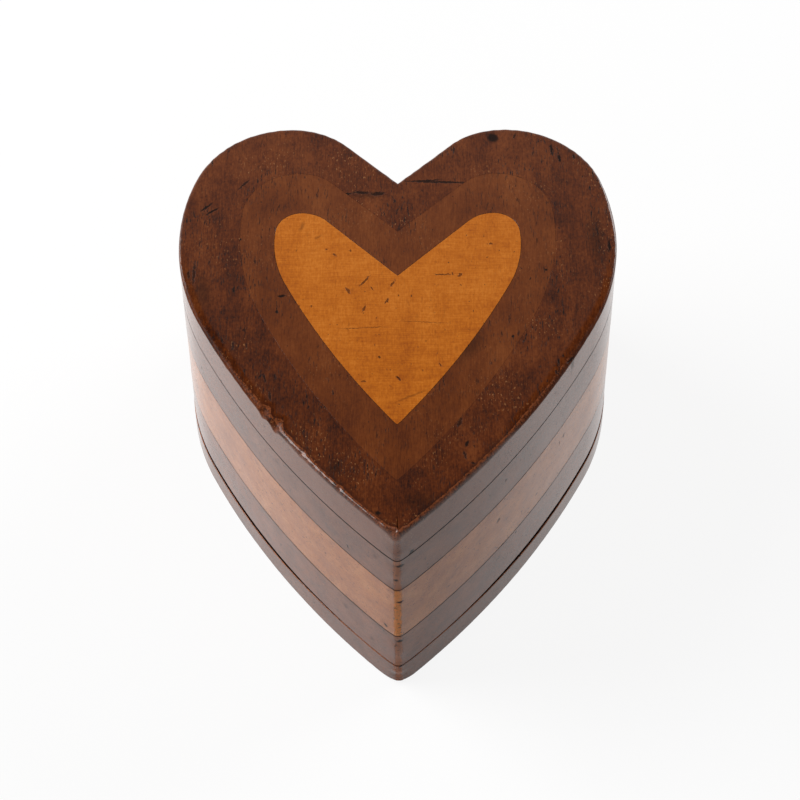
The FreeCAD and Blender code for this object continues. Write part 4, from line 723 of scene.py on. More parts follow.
PALE_WOOD = Varnished("pale_wood", (0.30, 0.064, 0.0020), (0.480, 0.127, 0.0060), (0.63, 0.198, 0.021),
                      (0.62, 0.26, 0.08), figure=0.35, grain=0.5, pores=0.15, ripple=0.55, mottle=0.75, flecks=0.1,
                      speckle=0.7, smudges=0.0, scar_tint=(0.060, 0.013, 0.0025), fading=0.12)


CLOUDS = Pattern((5, 5, 5), 4.0, 0.6)
BRUSHING = Pattern((0.12, 3, 0.12))
PITS = Pattern((0.5, 0.5, 0.5), cut=(0.62, 0.75))


@dataclass(frozen=True)
class Metal:
    """A worked metal with handling marks.

    Attributes:
        name: Name of the metal.
        bright: Colour where it is rubbed.
        dull: Colour where it has tarnished.
        roughness: Mean roughness.
        metallic: Share of metal in the surface.
        tarnish: How far the dull patches reach, from 0 to 1.
        patchy: How sharply dull and bright part.
        pitted: How dull the pits are.
        dull_rough: Roughness that tarnish adds.
        brush_rough: Roughness that brushing adds.
        brush_rise: Height of the brushing, in millimetres.
        pit_depth: Depth of the pits, in millimetres.
    """

    name: str
    bright: Colour
    dull: Colour
    roughness: float = 0.3
    metallic: float = 1.0
    tarnish: float = 0.5
    patchy: float = 2.2
    pitted: float = 0.5
    dull_rough: float = 0.18
    brush_rough: float = 0.15
    brush_rise: float = 0.012
    pit_depth: float = 0.01

    def material(self) -> Material:
        """Build the material: cloudy tarnish, fine brushing and a little pitting.

        Returns:
            The material.
        """
        paint = Paint(self.name)
        cloud, brushed, pits = paint.noise(CLOUDS), paint.noise(BRUSHING), paint.patches(PITS)
        dull = ((cloud - 0.5) * self.patchy + self.tarnish).step(0.0, 1.0)
        colour = paint.mix(dull, self.bright, self.dull)
        return paint.dress(
            Base_Color=paint.mix(pits * self.pitted, colour, self.dull),
            Metallic=self.metallic,
            Roughness=self.roughness + dull * self.dull_rough + (brushed - 0.5) * self.brush_rough,
            Normal=paint.relief((brushed - 0.5) * self.brush_rise - pits * self.pit_depth),
        )


BRASS = Metal("brass", (0.78, 0.51, 0.18), (0.52, 0.32, 0.10), 0.26, tarnish=0.35)
STEEL = Metal("steel", (0.56, 0.56, 0.57), (0.30, 0.29, 0.29), 0.28, tarnish=0.3)
CAST_IRON = Metal("cast_iron", (0.17, 0.165, 0.16), (0.09, 0.088, 0.085), 0.5, 0.7, tarnish=0.5)
LEAD = Metal("lead", (0.25, 0.25, 0.27), (0.15, 0.15, 0.165), 0.55, 0.8, tarnish=0.5)


STREAKS = Pattern((40, 1.6, 1.6), 4.0, 0.6)
FINE_PORES = Pattern((3, 0.4, 0.4), 1.0, cut=(0.64, 0.72))


@dataclass(frozen=True)
class Plain:
    """Bare inner wood with an oiled finish.

    Attributes:
        name: Name of the wood.
        dark: Colour of the streaks.
        pale: Main colour.
        streaky: Values of the noise where the pale colour begins and where it is full.
        pores: How dark the pores are.
        roughness: Mean roughness.
        uneven: How much it varies.
        relief: Height of the streaks and depth of the pores, in millimetres.
    """

    name: str
    dark: Colour
    pale: Colour
    streaky: tuple[float, float] = (0.35, 0.65)
    pores: float = 0.5
    roughness: float = 0.55
    uneven: float = 0.2
    relief: float = 0.05

    def material(self) -> Material:
        """Build the material: streaks along X and fine pores.

        Returns:
            The material.
        """
        paint = Paint(self.name)
        streak, pores = paint.noise(STREAKS), paint.patches(FINE_PORES)
        colour = paint.mix(streak.step(*self.streaky), self.dark, self.pale)
        return paint.dress(
            Base_Color=paint.mix(pores * self.pores, colour, self.dark),
            Roughness=self.roughness + (streak - 0.5) * self.uneven,
            Normal=paint.relief((streak - 0.5) * self.relief - pores * self.relief),
        )


PANEL_WOOD = Plain("panel_wood", (0.20, 0.085, 0.032), (0.36, 0.18, 0.075))


FIBRES = Pattern((0.25, 1.4, 0.4), 3.0, 0.7)
CROSS_FIBRES = Pattern((1.4, 0.25, 0.4), 3.0, 0.7, (4.0, 1.0, 2.0))
WORN_PATCHES = Pattern((22, 22, 22), 3.0, 0.6)


@dataclass(frozen=True)
class Felt:
    """Pressed wool cloth.

    Attributes:
        name: Name of the cloth.
        deep: Colour between the fibres.
        nap: Colour of the raised fibres.
        tangle: How far fibres stray.
        contrast: How strongly they show.
        worn: How strongly the worn patches show.
        roughness: Mean roughness.
        uneven: How much it varies.
        sheen: Strength and roughness of the soft sheen.
        rise: Height of the fibres, in millimetres.
    """

    name: str
    deep: Colour
    nap: Colour
    tangle: float = 0.8 * MM
    contrast: float = 1.6
    worn: float = 0.7
    roughness: float = 0.92
    uneven: float = 0.1
    sheen: tuple[float, float] = (0.15, 0.5)
    rise: float = 0.35

    def material(self) -> Material:
        """Build the material: tangled fibres, worn patches and a soft sheen.

        Returns:
            The material.
        """
        paint = Paint(self.name)
        tangled = paint.warped(self.tangle)
        fibres, crossing = paint.noise(FIBRES, tangled), paint.noise(CROSS_FIBRES, tangled)
        worn = paint.noise(WORN_PATCHES)
        weave = fibres * 0.5 + crossing * 0.5
        colour = paint.mix((weave - 0.5) * self.contrast + (worn - 0.5) * self.worn + 0.5, self.deep, self.nap)
        return paint.dress(
            Base_Color=colour,
            Roughness=self.roughness - (worn - 0.5) * self.uneven,
            Sheen_Weight=self.sheen[0],
            Sheen_Roughness=self.sheen[1],
            Normal=paint.relief(weave * self.rise),
        )


WINE_FELT = Felt("wine_felt", (0.095, 0.004, 0.007), (0.25, 0.014, 0.020))


SMEARS = Pattern((18, 7, 9), 4.0, 0.6, cut=(0.55, 0.85))
WAVES = Pattern((12, 16, 12), 1.0)


@dataclass(frozen=True)
class Glass:
    """Clear window glass with a greenish body.

    Attributes:
        name: Name of the glass.
        tint: Body colour.
        index: Its refractive index.
        clean: Roughness where it is clean.
        smeared: Roughness that smears add.
        wavy: Height of its waves, in millimetres.
    """

    name: str
    tint: Colour
    index: float = 1.46
    clean: float = 0.01
    smeared: float = 0.12
    wavy: float = 0.03

    def material(self) -> Material:
        """Build the material: faint smears, a slow waviness, and light let through to what lies behind.

        Returns:
            The material.
        """
        paint = Paint(self.name)
        smear = paint.noise(SMEARS)
        wave = paint.noise(WAVES)
        made = paint.dress(
            Base_Color=self.tint,
            Transmission_Weight=1.0,
            IOR=self.index,
            Roughness=smear.step(*SMEARS.cut) * self.smeared + self.clean,
            Normal=paint.relief(wave * self.wavy),
        )
        clear = paint.node("ShaderNodeBsdfTransparent", None, {"Color": self.tint})
        paint.show(paint.shared(paint.path("Is Shadow Ray").most(paint.path("Is Diffuse Ray")), paint.shader, clear))
        return made


WINDOW_GLASS = Glass("window_glass", (0.93, 0.97, 0.95))


# Surfaces

@dataclass(frozen=True)
class Span:
    """Lowest and highest level of a board, in metres."""

    low: float
    high: float

    def beyond(self) -> "Span":
        """The levels of a cutter that passes right through: a millimetre past both ends."""
        return Span(self.low - MM, self.high + MM)


def linked(name: str, data: bpy.types.ID) -> Object:
    """A new object in the scene that holds the given data.

    Args:
        name: Its name.
        data: A mesh, a light or a camera.

    Returns:
        The object.
    """
    made = bpy.data.objects.new(name, data)
    bpy.context.scene.collection.objects.link(made)
    return made


def piece_from(name: str, points: Array, quads: Array, triangles: Optional[Array] = None) -> Object:
    """Put a surface into a mesh object, turned so that its faces point outwards.

    Args:
        name: Name of the piece.
        points: Vertices, one row each.
        quads: Four vertex numbers a row.
        triangles: Three vertex numbers a row.

    Returns:
        The object, linked into the scene.
    """
    triangles = np.empty((0, 3), int) if triangles is None else triangles
    halves = np.concatenate([quads[:, [0, 1, 2]], quads[:, [0, 2, 3]], triangles])
    first, second, third = points[halves[:, 0]], points[halves[:, 1]], points[halves[:, 2]]
    if np.einsum("ij,ij->", first, np.cross(second, third)) < 0:
        quads, triangles = quads[:, ::-1], triangles[:, ::-1]
    mesh = bpy.data.meshes.new(name)
    mesh.vertices.add(len(points))
    mesh.vertices.foreach_set("co", np.ascontiguousarray(points, np.float32).ravel())
    corners = np.concatenate([quads.ravel(), triangles.ravel()]).astype(np.int32)
    mesh.loops.add(len(corners))
    mesh.loops.foreach_set("vertex_index", corners)
    starts = np.concatenate([np.arange(len(quads)) * 4, len(quads) * 4 + np.arange(len(triangles)) * 3])
    mesh.polygons.add(len(starts))
    mesh.polygons.foreach_set("loop_start", starts.astype(np.int32))
    mesh.update(calc_edges=True)
    mesh.validate()
    smooth(mesh)
    return linked(name, mesh)


def smooth(mesh: bpy.types.Mesh, corner: float = 40.0) -> None:
    """Shade a mesh smooth, with edges sharper than an angle in degrees left crisp."""
    mesh.shade_smooth()
    mesh.set_sharp_from_angle(angle=math.radians(corner))


def grid_faces(rows: int, columns: int, loop: bool) -> Array:
    """Quads of a grid whose columns close on themselves.

    Args:
        rows: Number of rows of points.
        columns: Points in each row.
        loop: Whether the last row also joins the first.

    Returns:
        Four vertex numbers a row.
    """
    row = np.arange(rows if loop else rows - 1)[:, None]
    column = np.arange(columns)[None, :]
    above = (row + 1) % rows
    beside = (column + 1) % columns
    corners = [row * columns + column, row * columns + beside, above * columns + beside, above * columns + column]
    return np.stack(corners, axis=-1).reshape(-1, 4)


def skin(name: str, rows: Sequence[Array], loop: bool = False) -> Object:
    """A closed surface through rows of points: a profile carried round a path.

    Neighbouring rows are joined by quads. Without a loop, the first and the last row are each
    closed by a fan to their mean point.

    Args:
        name: Name of the piece.
        rows: Rows of points, all of one length.
        loop: Whether the last row joins the first.

    Returns:
        The object.
    """
    stack = np.stack(rows)
    count, columns, _ = stack.shape
    points = stack.reshape(-1, 3)
    quads = grid_faces(count, columns, loop)
    if loop:
        return piece_from(name, points, quads)
    poles = np.stack([stack[0].mean(axis=0), stack[-1].mean(axis=0)])
    around = np.arange(columns)
    beside = (around + 1) % columns
    last = (count - 1) * columns
    low = np.stack([np.full(columns, len(points)), beside, around], axis=1)
    high = np.stack([np.full(columns, len(points) + 1), last + around, last + beside], axis=1)
    return piece_from(name, np.concatenate([points, poles]), quads, np.concatenate([low, high]))


def lifted(outline: Array, level: Union[float, Array]) -> Array:
    """Put a flat outline at a level, or each of its points at a level of its own."""
    heights = np.broadcast_to(level, (len(outline),))
    return np.concatenate([outline, heights[:, None]], axis=1)


def waves(count: int, lengths: Iterable[int], seed: int) -> Array:
    """Smooth uneven numbers round a closed path: a sum of sines with seeded phases.

    Args:
        count: Points on the path.
        lengths: How many waves each sine makes round the path.
        seed: Seed of the phases and weights.

    Returns:
        Numbers of about -1 to 1.
    """
    source = np.random.default_rng(seed)
    turns = np.array(list(lengths), float)
    phases = source.uniform(0, 2 * np.pi, len(turns))
    weights = source.uniform(0.4, 1.0, len(turns))
    along = np.linspace(0, 2 * np.pi, count, endpoint=False)
    total = np.sin(along[:, None] * turns + phases) @ weights
    return total / np.abs(total).max()


def keep_numbers(piece: Object, name: str, numbers: Array) -> None:
    """Store one number for each point of a piece, for its material to read."""
    made = piece.data.attributes.new(name, "FLOAT", "POINT")
    made.data.foreach_set("value", np.ascontiguousarray(numbers, np.float32))


def circle(sides: int) -> Array:
    """Points of a circle of radius 1."""
    angles = np.linspace(0, 2 * np.pi, sides, endpoint=False)
    return np.stack([np.cos(angles), np.sin(angles)], axis=1)


def post(name: str, ring: Array, span: Span) -> Object:
    """A closed upright prism: an outline carried between two levels."""
    return skin(name, [lifted(ring, span.low), lifted(ring, span.high)])


def tube(name: str, middle: Sequence[float], radius: float, span: Span, sides: int) -> Object:
    """A closed upright cylinder: a circle carried between two levels."""
    return post(name, np.asarray(middle) + radius * circle(sides), span)


def brick(name: str, low: Sequence[float], high: Sequence[float]) -> Object:
    """A closed box between two corners: a rectangle carried between two levels."""
    ring = np.array([(low[0], low[1]), (high[0], low[1]), (high[0], high[1]), (low[0], high[1])])
    return post(name, ring, Span(low[2], high[2]))


def carve(piece: Object, cutters: Sequence[Object]) -> None:
    """Cut holes and seats into a piece, and delete the cutters.

    Args:
        piece: The piece, whose mesh is replaced.
        cutters: Closed objects to take away.
    """
    for cutter in cutters:
        cut = piece.modifiers.new(cutter.name, "BOOLEAN")
        cut.operation = "DIFFERENCE"
        cut.solver = "EXACT"
        cut.object = cutter
    graph = bpy.context.evaluated_depsgraph_get()
    carved = bpy.data.meshes.new_from_object(piece.evaluated_get(graph))
    piece.modifiers.clear()
    piece.data = carved
    smooth(carved)
    for cutter in cutters:
        bpy.data.objects.remove(cutter)


def joined(name: str, pieces: Sequence[Object]) -> Object:
    """Join several pieces into one.

    Args:
        name: Name of the whole.
        pieces: Its parts, which are deleted.

    Returns:
        The whole.
    """
    whole = bmesh.new()
    for piece in pieces:
        whole.from_mesh(piece.data)
        bpy.data.objects.remove(piece)
    mesh = bpy.data.meshes.new(name)
    whole.to_mesh(mesh)
    whole.free()
    smooth(mesh)
    return linked(name, mesh)


@dataclass(frozen=True)
class HeartCut:
    """The outline of a heart as tangent arcs, the same on both sides.

    Attributes:
        width: Overall width.
        length: From the lobe tops to the point before it is rounded.
        lobe_radius: Arc over each lobe.
        shoulder_radius: Arc down each side.
        inner_radius: Arc from the lobe top towards the cleft.
        cleft_depth: From the lobe tops down to the cleft.
        lobe_turn: Where the lobe arc ends, in degrees from straight up.
        shoulder_turn: Where the shoulder arc ends, in degrees from straight up.
        nose: Radius that rounds the point.
        lobe_line: y of the lobe tops.
        samples: Points on the run into the cleft, the inner arc, the lobe, the shoulder, the flank and the nose.
    """

    width: float
    length: float
    lobe_radius: float
    shoulder_radius: float
    inner_radius: float
    cleft_depth: float
    lobe_turn: float
    shoulder_turn: float
    nose: float
    lobe_line: float
    samples: tuple[int, ...] = (30, 36, 62, 96, 150, 9)

    @staticmethod
    def unit(degrees: Union[float, Array]) -> Array:
        """Unit vectors at angles from +X."""
        turn = np.radians(degrees)
        return np.stack([np.cos(turn), np.sin(turn)], axis=-1)

    def trace(self, inset: float = 0.0, nose: Optional[float] = None) -> tuple[Array, Array]:
        """The closed outline, moved inwards, with its inward directions.

        The lobe's middle lies where the shoulder arc just reaches half the width. The flank arc
        leaves the shoulder without a kink and passes through the point, and the straight run into the
        cleft touches the inner arc. An inset keeps every centre and shortens every radius.

        Args:
            inset: How far the outline is moved inwards.
            nose: Radius of the point, if it differs.

        Returns:
            Points and inward unit vectors, from the cleft over the right lobe to the point and back.
        """
        nose = self.nose if nose is None else nose
        lobe_end, shoulder_end = 90 - self.lobe_turn, 90 - self.shoulder_turn
        lean = math.cos(math.radians(lobe_end))
        offset = self.width / 2 - self.lobe_radius * lean - self.shoulder_radius * (1 - lean)
        lobe = np.array([offset, -self.lobe_radius])
        inner = np.array([offset, -self.inner_radius])
        shoulder = lobe + self.unit(lobe_end) * (self.lobe_radius - self.shoulder_radius)
        outward = self.unit(shoulder_end)
        start = shoulder + outward * self.shoulder_radius
        chord = np.array([0.0, -self.length]) - start
        flank_radius = chord @ chord / (-2 * chord @ outward)
        flank = start - outward * flank_radius
        square = self.cleft_depth - 2 * self.inner_radius
        root = math.sqrt(offset ** 2 + square * self.cleft_depth)
        turn = 2 * math.degrees(math.atan(self.cleft_depth / (offset + root)))
        steep = math.cos(math.radians(turn))
        tip = np.array([0.0, flank[1] - math.sqrt((flank_radius - inset - nose) ** 2 - flank[0] ** 2)])
        ray = tip - flank
        flank_end = math.degrees(math.atan2(ray[1], ray[0]))
        arcs = (
            (inner, self.inner_radius - inset, 90 + turn, 90),
            (lobe, self.lobe_radius - inset, 90, lobe_end),
            (shoulder, self.shoulder_radius - inset, lobe_end, shoulder_end),
            (flank, flank_radius - inset, shoulder_end, flank_end),
            (tip, nose, flank_end, -90),
        )
        cleft = np.array([0.0, -self.cleft_depth - inset / steep])
        run_end = inner + self.unit(90 + turn) * (self.inner_radius - inset)
        share = np.linspace(0, 1, self.samples[0], endpoint=False)[:, None]
        runs = [cleft + (run_end - cleft) * share]
        facing = [np.repeat(-self.unit(90 + turn)[None], self.samples[0], axis=0)]
        for (centre, radius, first, last), count in zip(arcs, self.samples[1:]):
            angles = np.linspace(first, last, count, endpoint=False)
            runs.append(centre + self.unit(angles) * radius)
            facing.append(-self.unit(angles))
        runs.append(tip[None] + [[0.0, -nose]])
        facing.append(np.array([[0.0, 1.0]]))
        half, inward = np.concatenate(runs), np.concatenate(facing)
        inward[0] = (0.0, -1.0 / steep)
        mirror = np.array([-1.0, 1.0])
        points = np.concatenate([half, half[-2:0:-1] * mirror])
        points[:, 1] += self.lobe_line
        return points, np.concatenate([inward, inward[-2:0:-1] * mirror])


def shrunk(outline: Array, hub: Array, shares: Iterable[float]) -> list[Array]:
    """Smaller copies of an outline towards a hub, for the flat inside of a plate."""
    return [hub + (outline - hub) * share for share in shares]


LOBE_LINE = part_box("lower_ring")[1].y
CASE_CUT = HeartCut(150 * MM, 172.5 * MM, 35 * MM, 80 * MM, 28 * MM, 24.8 * MM, 70, 117, 2.5 * MM, LOBE_LINE)
BAND_CUT = HeartCut(108.3 * MM, 129.8 * MM, 19.7 * MM, 84 * MM, 16.4 * MM, 26 * MM, 84, 115.6, 0.8 * MM,
                    LOBE_LINE - 20.7 * MM)
PALE_CUT = HeartCut(84.6 * MM, 90 * MM, 9 * MM, 42 * MM, 12.4 * MM, 27.5 * MM, 83, 116, 0.8 * MM,
                    LOBE_LINE - 38.5 * MM)


def hub_of(outline: Array) -> Array:
    """The hub of an outline: on the middle line, at its mean y."""
    return np.array([0.0, outline[:, 1].mean()])


def from_tip(outline: Array, places: Array) -> Array:
    """Distance of places from the point of an outline, seen from above."""
    tip = outline[np.argmin(outline[:, 1])]
    return np.hypot(*(places[:, :2] - tip).T)


def level_of(node: str) -> Span:
    """Lowest and highest level of a node of the frame."""
    low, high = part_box(node)
    return Span(low.z, high.z)


def footprint(node: str) -> tuple[Array, Array]:
    """Middle and half sizes of a node of the frame, seen from above."""
    low, high = (np.array(corner[:2]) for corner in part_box(node))
    return (low + high) / 2, (high - low) / 2


def points_of(mesh: bpy.types.Mesh) -> Array:
    """The points of a mesh, one row each."""
    return np.array([vertex.co for vertex in mesh.vertices])


def hand_over(piece: Object, material: Material, body: str, nodes: Sequence[str]) -> None:
    """Dress a piece, let it ride on its body and let it stand for nodes of the frame.

    Args:
        piece: The new piece.
        material: Its finish.
        body: The body that it moves with.
        nodes: The nodes that it replaces.
    """
    piece.data.materials.clear()
    piece.data.materials.append(material)
    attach(piece, body)
    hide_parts(*nodes)
    LOG.info("%s: %d faces on %s", piece.name, len(piece.data.polygons), body)


# The case

WALL, CAVITY_NOSE, LINING_INSET, LIP_INSET = 11.0 * MM, 6.0 * MM, 13.0 * MM, 1.2 * MM
HANDLED_FROM, HANDLED_LENGTH = 20 * MM, 60 * MM

# An edge's unevenness: waves round the board, the share of each row of waves and the least share of the radius
SLOW_WAVES, QUICK_WAVES = range(3, 24), range(60, 170, 7)
SLOW_SHARE, QUICK_SHARE, LEAST_SHARE = 0.6, 0.4, 0.25

# Notches up the front corner: their mean, then the share, length and phase of each wave
NOTCH_MEAN, NOTCH_WAVES = 0.62, ((0.25, 1.9 * MM, 0.0), (0.13, 0.7 * MM, 1.0))


@dataclass
class Row:
    """One row of a board's skin.

    Attributes:
        points: Its points.
        rim: How far it belongs to the stained rim, from 0 to 1.
        grime: How dark it is made, from 0 to 1: soiling in the seams, and painted shade on the floor of the open joint
            above the base.
        rubbed: How bare it is rubbed, from 0 to 1.
    """

    points: Array
    rim: Union[float, Array] = 0.0
    grime: float = 0.0
    rubbed: Union[float, Array] = 0.0


def layer(outlines: Iterable[Array], level: Union[float, Array], **wear: float) -> list[Row]:
    """Rows that lie at one level and are worn alike."""
    return [Row(lifted(outline, level), **wear) for outline in outlines]


def frontness(outline: Array) -> Array:
    """How near each point of an outline lies to the heart's point, where hands take hold, from 0 to 1."""
    return np.clip((HANDLED_FROM - outline[:, 1]) / HANDLED_LENGTH, 0, 1)


@dataclass(frozen=True)
class Chip:
    """A bite out of an edge.

    Attributes:
        x: Place, in millimetres.
        y: Place, in millimetres.
        width: Width along the edge, in millimetres.
        depth: Extra rounding, in millimetres.
    """

    x: float
    y: float
    width: float
    depth: float


@dataclass(frozen=True)
class Edge:
    """A worn edge that runs round a board.

    Attributes:
        radius: Mean radius.
        uneven: How much the radius varies.
        seed: Seed of the unevenness.
        steps: Rows of points across the rounding.
        grime: Soiling in the joint beside it, and painted shade where that joint stands open.
        rim: Stain along it.
        rubbed: How bare it is rubbed.
        handled: How much its radius grows towards the point.
        chips: Bites out of it.
    """

    radius: float
    uneven: float
    seed: int
    steps: int = 5
    grime: float = 1.0
    rim: float = 0.0
    rubbed: float = 0.0
    handled: float = 0.0
    chips: tuple[Chip, ...] = ()

    def radii(self, outline: Array) -> Array:
        """The radius at each point of an outline: a mean, two sums of sines and a bell for each chip.

        Args:
            outline: The board's outline.

        Returns:
            One radius for each point.
        """
        slow = waves(len(outline), SLOW_WAVES, self.seed)
        quick = waves(len(outline), QUICK_WAVES, self.seed + 1)
        radius = self.radius + self.uneven * (SLOW_SHARE * slow + QUICK_SHARE * quick)
        radius = np.maximum(radius, LEAST_SHARE * self.radius) + self.handled * frontness(outline)
        for chip in self.chips:
            distance = np.hypot(outline[:, 0] - chip.x * MM, outline[:, 1] - chip.y * MM)
            radius = radius + chip.depth * MM * np.exp(-(distance / (chip.width / 2 * MM)) ** 2)
        return radius

    def row(self, points: Array, share: float = 1.0) -> Row:
        """A row on the edge, with its wear taken in part."""
        return Row(points, self.rim * share, self.grime, self.rubbed * share)


@dataclass
class WornBoard:
    """A heart-shaped board with rounded, worn edges and a rubbed front corner.

    Attributes:
        cut: Its outline.
        setback: How far its side lies behind the outline.
        corner_reach: How far round the point the corner is worn down.
        corner_depth: How deep it is worn down.
        bare_reach: How far round the point it is rubbed bare.
        joint: How far dirt reaches from a joint.
        side_rows: Rows of points up the side.
    """

    cut: HeartCut = CASE_CUT
    setback: float = 0.0
    corner_reach: float = 3.0 * MM
    corner_depth: float = 0.5 * MM
    bare_reach: float = 2.0 * MM
    joint: float = 0.3 * MM
    side_rows: int = 10

    def rubbing(self, outline: Array, level: float) -> Array:
        """How deep the front corner is worn at a level: a bell round the point, notched by sines.

        Args:
            outline: The board's outline.
            level: The level.

        Returns:
            One depth for each point.
        """
        bell = np.exp(-(from_tip(outline, outline) / self.corner_reach) ** 2)
        notch = sum((share * math.sin(level / length + phase) for share, length, phase in NOTCH_WAVES), NOTCH_MEAN)
        return self.corner_depth * bell * notch

    def rounding(self, edge: Edge, level: float, rise: int) -> list[Row]:
        """Rows of one edge, as a quarter circle: the inset is r(1 - sin a) and the rise r(1 - cos a).

        Args:
            edge: The edge.
            level: Level of the face beside it.
            rise: 1 if the side lies above that face, -1 if it lies below.

        Returns:
            Rows from the face to the side.
        """
        outline, inward = self.cut.trace(self.setback)
        radii, rows = edge.radii(outline), []
        for angle in np.linspace(0, np.pi / 2, edge.steps):
            inset = radii * (1 - np.sin(angle)) + self.rubbing(outline, level)
            points = lifted(outline + inward * inset[:, None], level + rise * radii * (1 - np.cos(angle)))
            rows.append(edge.row(points, 1 - angle / np.pi))
        return rows

    def side(self, span: Span, top: Edge, bottom: Edge) -> list[Row]:
        """Rows of the outer side.

        Args:
            span: Levels of the board.
            top: Its upper edge.
            bottom: Its lower edge.

        Returns:
            Rows from the bottom face to the top face.
        """
        outline, inward = self.cut.trace(self.setback)
        foot = span.low + bottom.radii(outline) + self.joint
        head = span.high - top.radii(outline) - self.joint
        rows = self.rounding(bottom, span.low, 1)
        for share in np.linspace(0, 1, self.side_rows):
            level = foot * (1 - share) + head * share
            inset = self.rubbing(outline, float(level.mean()))
            rows.append(Row(lifted(outline + inward * inset[:, None], level)))
        return rows + self.rounding(top, span.high, -1)[::-1]

    def assemble(self, name: str, rows: Sequence[Row], loop: bool = False) -> Object:
        """Join the rows into a skin and store the wear that the finish reads.

        Args:
            name: Name of the board.
            rows: Its rows.
            loop: Whether the last row joins the first.

        Returns:
            The board.
        """
        made = skin(name, [row.points for row in rows], loop)
        places = np.concatenate([row.points for row in rows])
        count = len(rows[0].points)
        ends = np.zeros(len(made.data.vertices) - len(places))
        wear = {kind: np.concatenate([*(np.broadcast_to(getattr(row, kind), (count,)) for row in rows), ends])
                for kind in ("rim", "grime", "rubbed")}
        distance = from_tip(self.cut.trace()[0], places)
        corner = np.exp(-(distance / self.bare_reach) ** 2) if self.bare_reach else 0 * distance
        wear["rubbed"] = np.maximum(wear["rubbed"], np.concatenate([corner, ends]))
        for kind, numbers in wear.items():
            keep_numbers(made, kind, numbers)
        return made


@dataclass(frozen=True)
class Ring:
    """One ring of the wall.

    Attributes:
        node: The node that it stands for.
        wood: Its finish.
        scars: Marks of wear on it.
        slot: Its material slot; not used.
        setback: How far its side lies behind the outline.
        seed: Seed of its edges.
    """

    node: str
    wood: Varnished
    scars: tuple[Scar, ...]
    slot: str
    setback: float
    seed: int


@dataclass
class CaseStack:
    """The base board and the three rings of the wall.

    Attributes:
        rings: The rings from below.
        seam: Radius of the small edges in the seams.
        seam_uneven: How much it varies, as a share.
        seed_step: From the seed of a ring's upper edge to that of its lower one.
        base_foot: Lower edge of the base.
        base_top: Upper edge of the base.
        base_corner: How deep its front corner is worn.
        foot_chip: Width and depth of the bite at its point, in millimetres.
        ledge: How far the joint's floor begins behind the outline.
        base_rim: Width of the base's sloping rim.
        base_rim_gap: How far the rim drops along the sides.
        rim_slope: Over which share of the length the drop grows.
        rim_start: How much of that growth the point is spared.
        key_recess: Radius of the recess for the key.
        key_middle: Middle of that recess.
    """

    rings: tuple[Ring, ...] = (
        Ring("lower_ring", LOWER_WOOD, LOWER_SCARS, "dark_wood", 0.16 * MM, 11),
        Ring("light_ring", LIGHT_WOOD, LIGHT_SCARS, "light_wood", 0.09 * MM, 12),
        Ring("upper_ring", RING_WOOD, UPPER_SCARS, "dark_wood", 0.0, 13),
    )
    seam: float = 0.22 * MM
    seam_uneven: float = 0.4
    seed_step: int = 20
    base_foot: Edge = Edge(0.45 * MM, 0.2 * MM, 81, grime=0.0, rubbed=0.55)
    base_top: Edge = Edge(0.2 * MM, 0.08 * MM, 61, grime=0.0, rubbed=0.9)
    base_corner: float = 0.8 * MM
    foot_chip: tuple[float, float] = (9.0, 1.6)
    ledge: float = 0.3 * MM
    base_rim: float = 4.0 * MM
    base_rim_gap: float = 2.0 * MM
    rim_slope: float = 0.3
    rim_start: float = 0.12
    key_recess: float = 16.5 * MM
    key_middle: tuple[float, float] = (-24.0 * MM, 2.0 * MM)

    def ring(self, ring: Ring) -> Object:
        """One sawn ring: its side, its faces and the straight wall of the hollow, as one looped skin.

        Args:
            ring: Which one.

        Returns:
            The ring.
        """
        span = level_of(ring.node)
        board = WornBoard(setback=ring.setback)
        top, bottom = (Edge(self.seam, self.seam_uneven * self.seam, seed)
                       for seed in (ring.seed, ring.seed + self.seed_step))
        hollow, _ = CASE_CUT.trace(WALL, CAVITY_NOSE)
        lip, _ = CASE_CUT.trace(LIP_INSET)
        rows = board.side(span, top, bottom) + layer((lip, hollow), span.high) + layer((hollow, lip), span.low)
        made = board.assemble(f"{ring.node}_wood", rows, loop=True)
        if ring.node == "upper_ring":
            carve(made, Hinges().seats(span.high, -1))
        return made

    def base(self) -> Object:
        """The base board, whose rim slopes down towards the lobes, so that a joint opens there, its floor painted
        black as shade.

        Returns:
            The board.
        """
        span = level_of("base_board")
        board = WornBoard(corner_depth=self.base_corner)
        outline, _ = CASE_CUT.trace()
        tip, back = outline[:, 1].min(), outline[:, 1].max()
        foot = replace(self.base_foot, chips=(Chip(0.0, tip / MM, *self.foot_chip),))
        rows = board.side(span, self.base_top, foot)
        share = np.clip((outline[:, 1] - tip) / (back - tip) / self.rim_slope - self.rim_start, 0, 1)
        drop = self.base_rim_gap * share ** 2 * (3 - 2 * share)
        for row in rows:
            row.points[:, 2] -= drop * (row.points[:, 2] - span.low) / (span.high - span.low)
        ledge, _ = CASE_CUT.trace(self.ledge)
        seat, _ = CASE_CUT.trace(self.base_rim, CASE_CUT.nose)
        # The joint's floor, up to the seat, is painted black: painted shade inside the open joint
        rows += layer((ledge, seat), span.high - drop, grime=1.0) + layer((seat,), span.high, grime=1.0)
        hub = hub_of(outline)
        rows += layer(shrunk(seat, hub, (0.95, 0.6, 0.25)), span.high)
        made = board.assemble("base_board_wood", layer(shrunk(outline, hub, (0.25, 0.6, 0.9)), span.low) + rows)
        recess = tube("key_recess", self.key_middle, self.key_recess, span.beyond(), sides=96)
        carve(made, [recess] + Fasteners().seats())
        return made

    def build(self) -> None:
        """Build and dress all four boards."""
        hand_over(self.base(), BASE_WOOD.material(level_of("base_board").high), "case", ["base_board"])
        for ring in self.rings:
            made = self.ring(ring)
            hand_over(made, ring.wood.material(level_of(ring.node).high, ring.scars), "case", [ring.node])


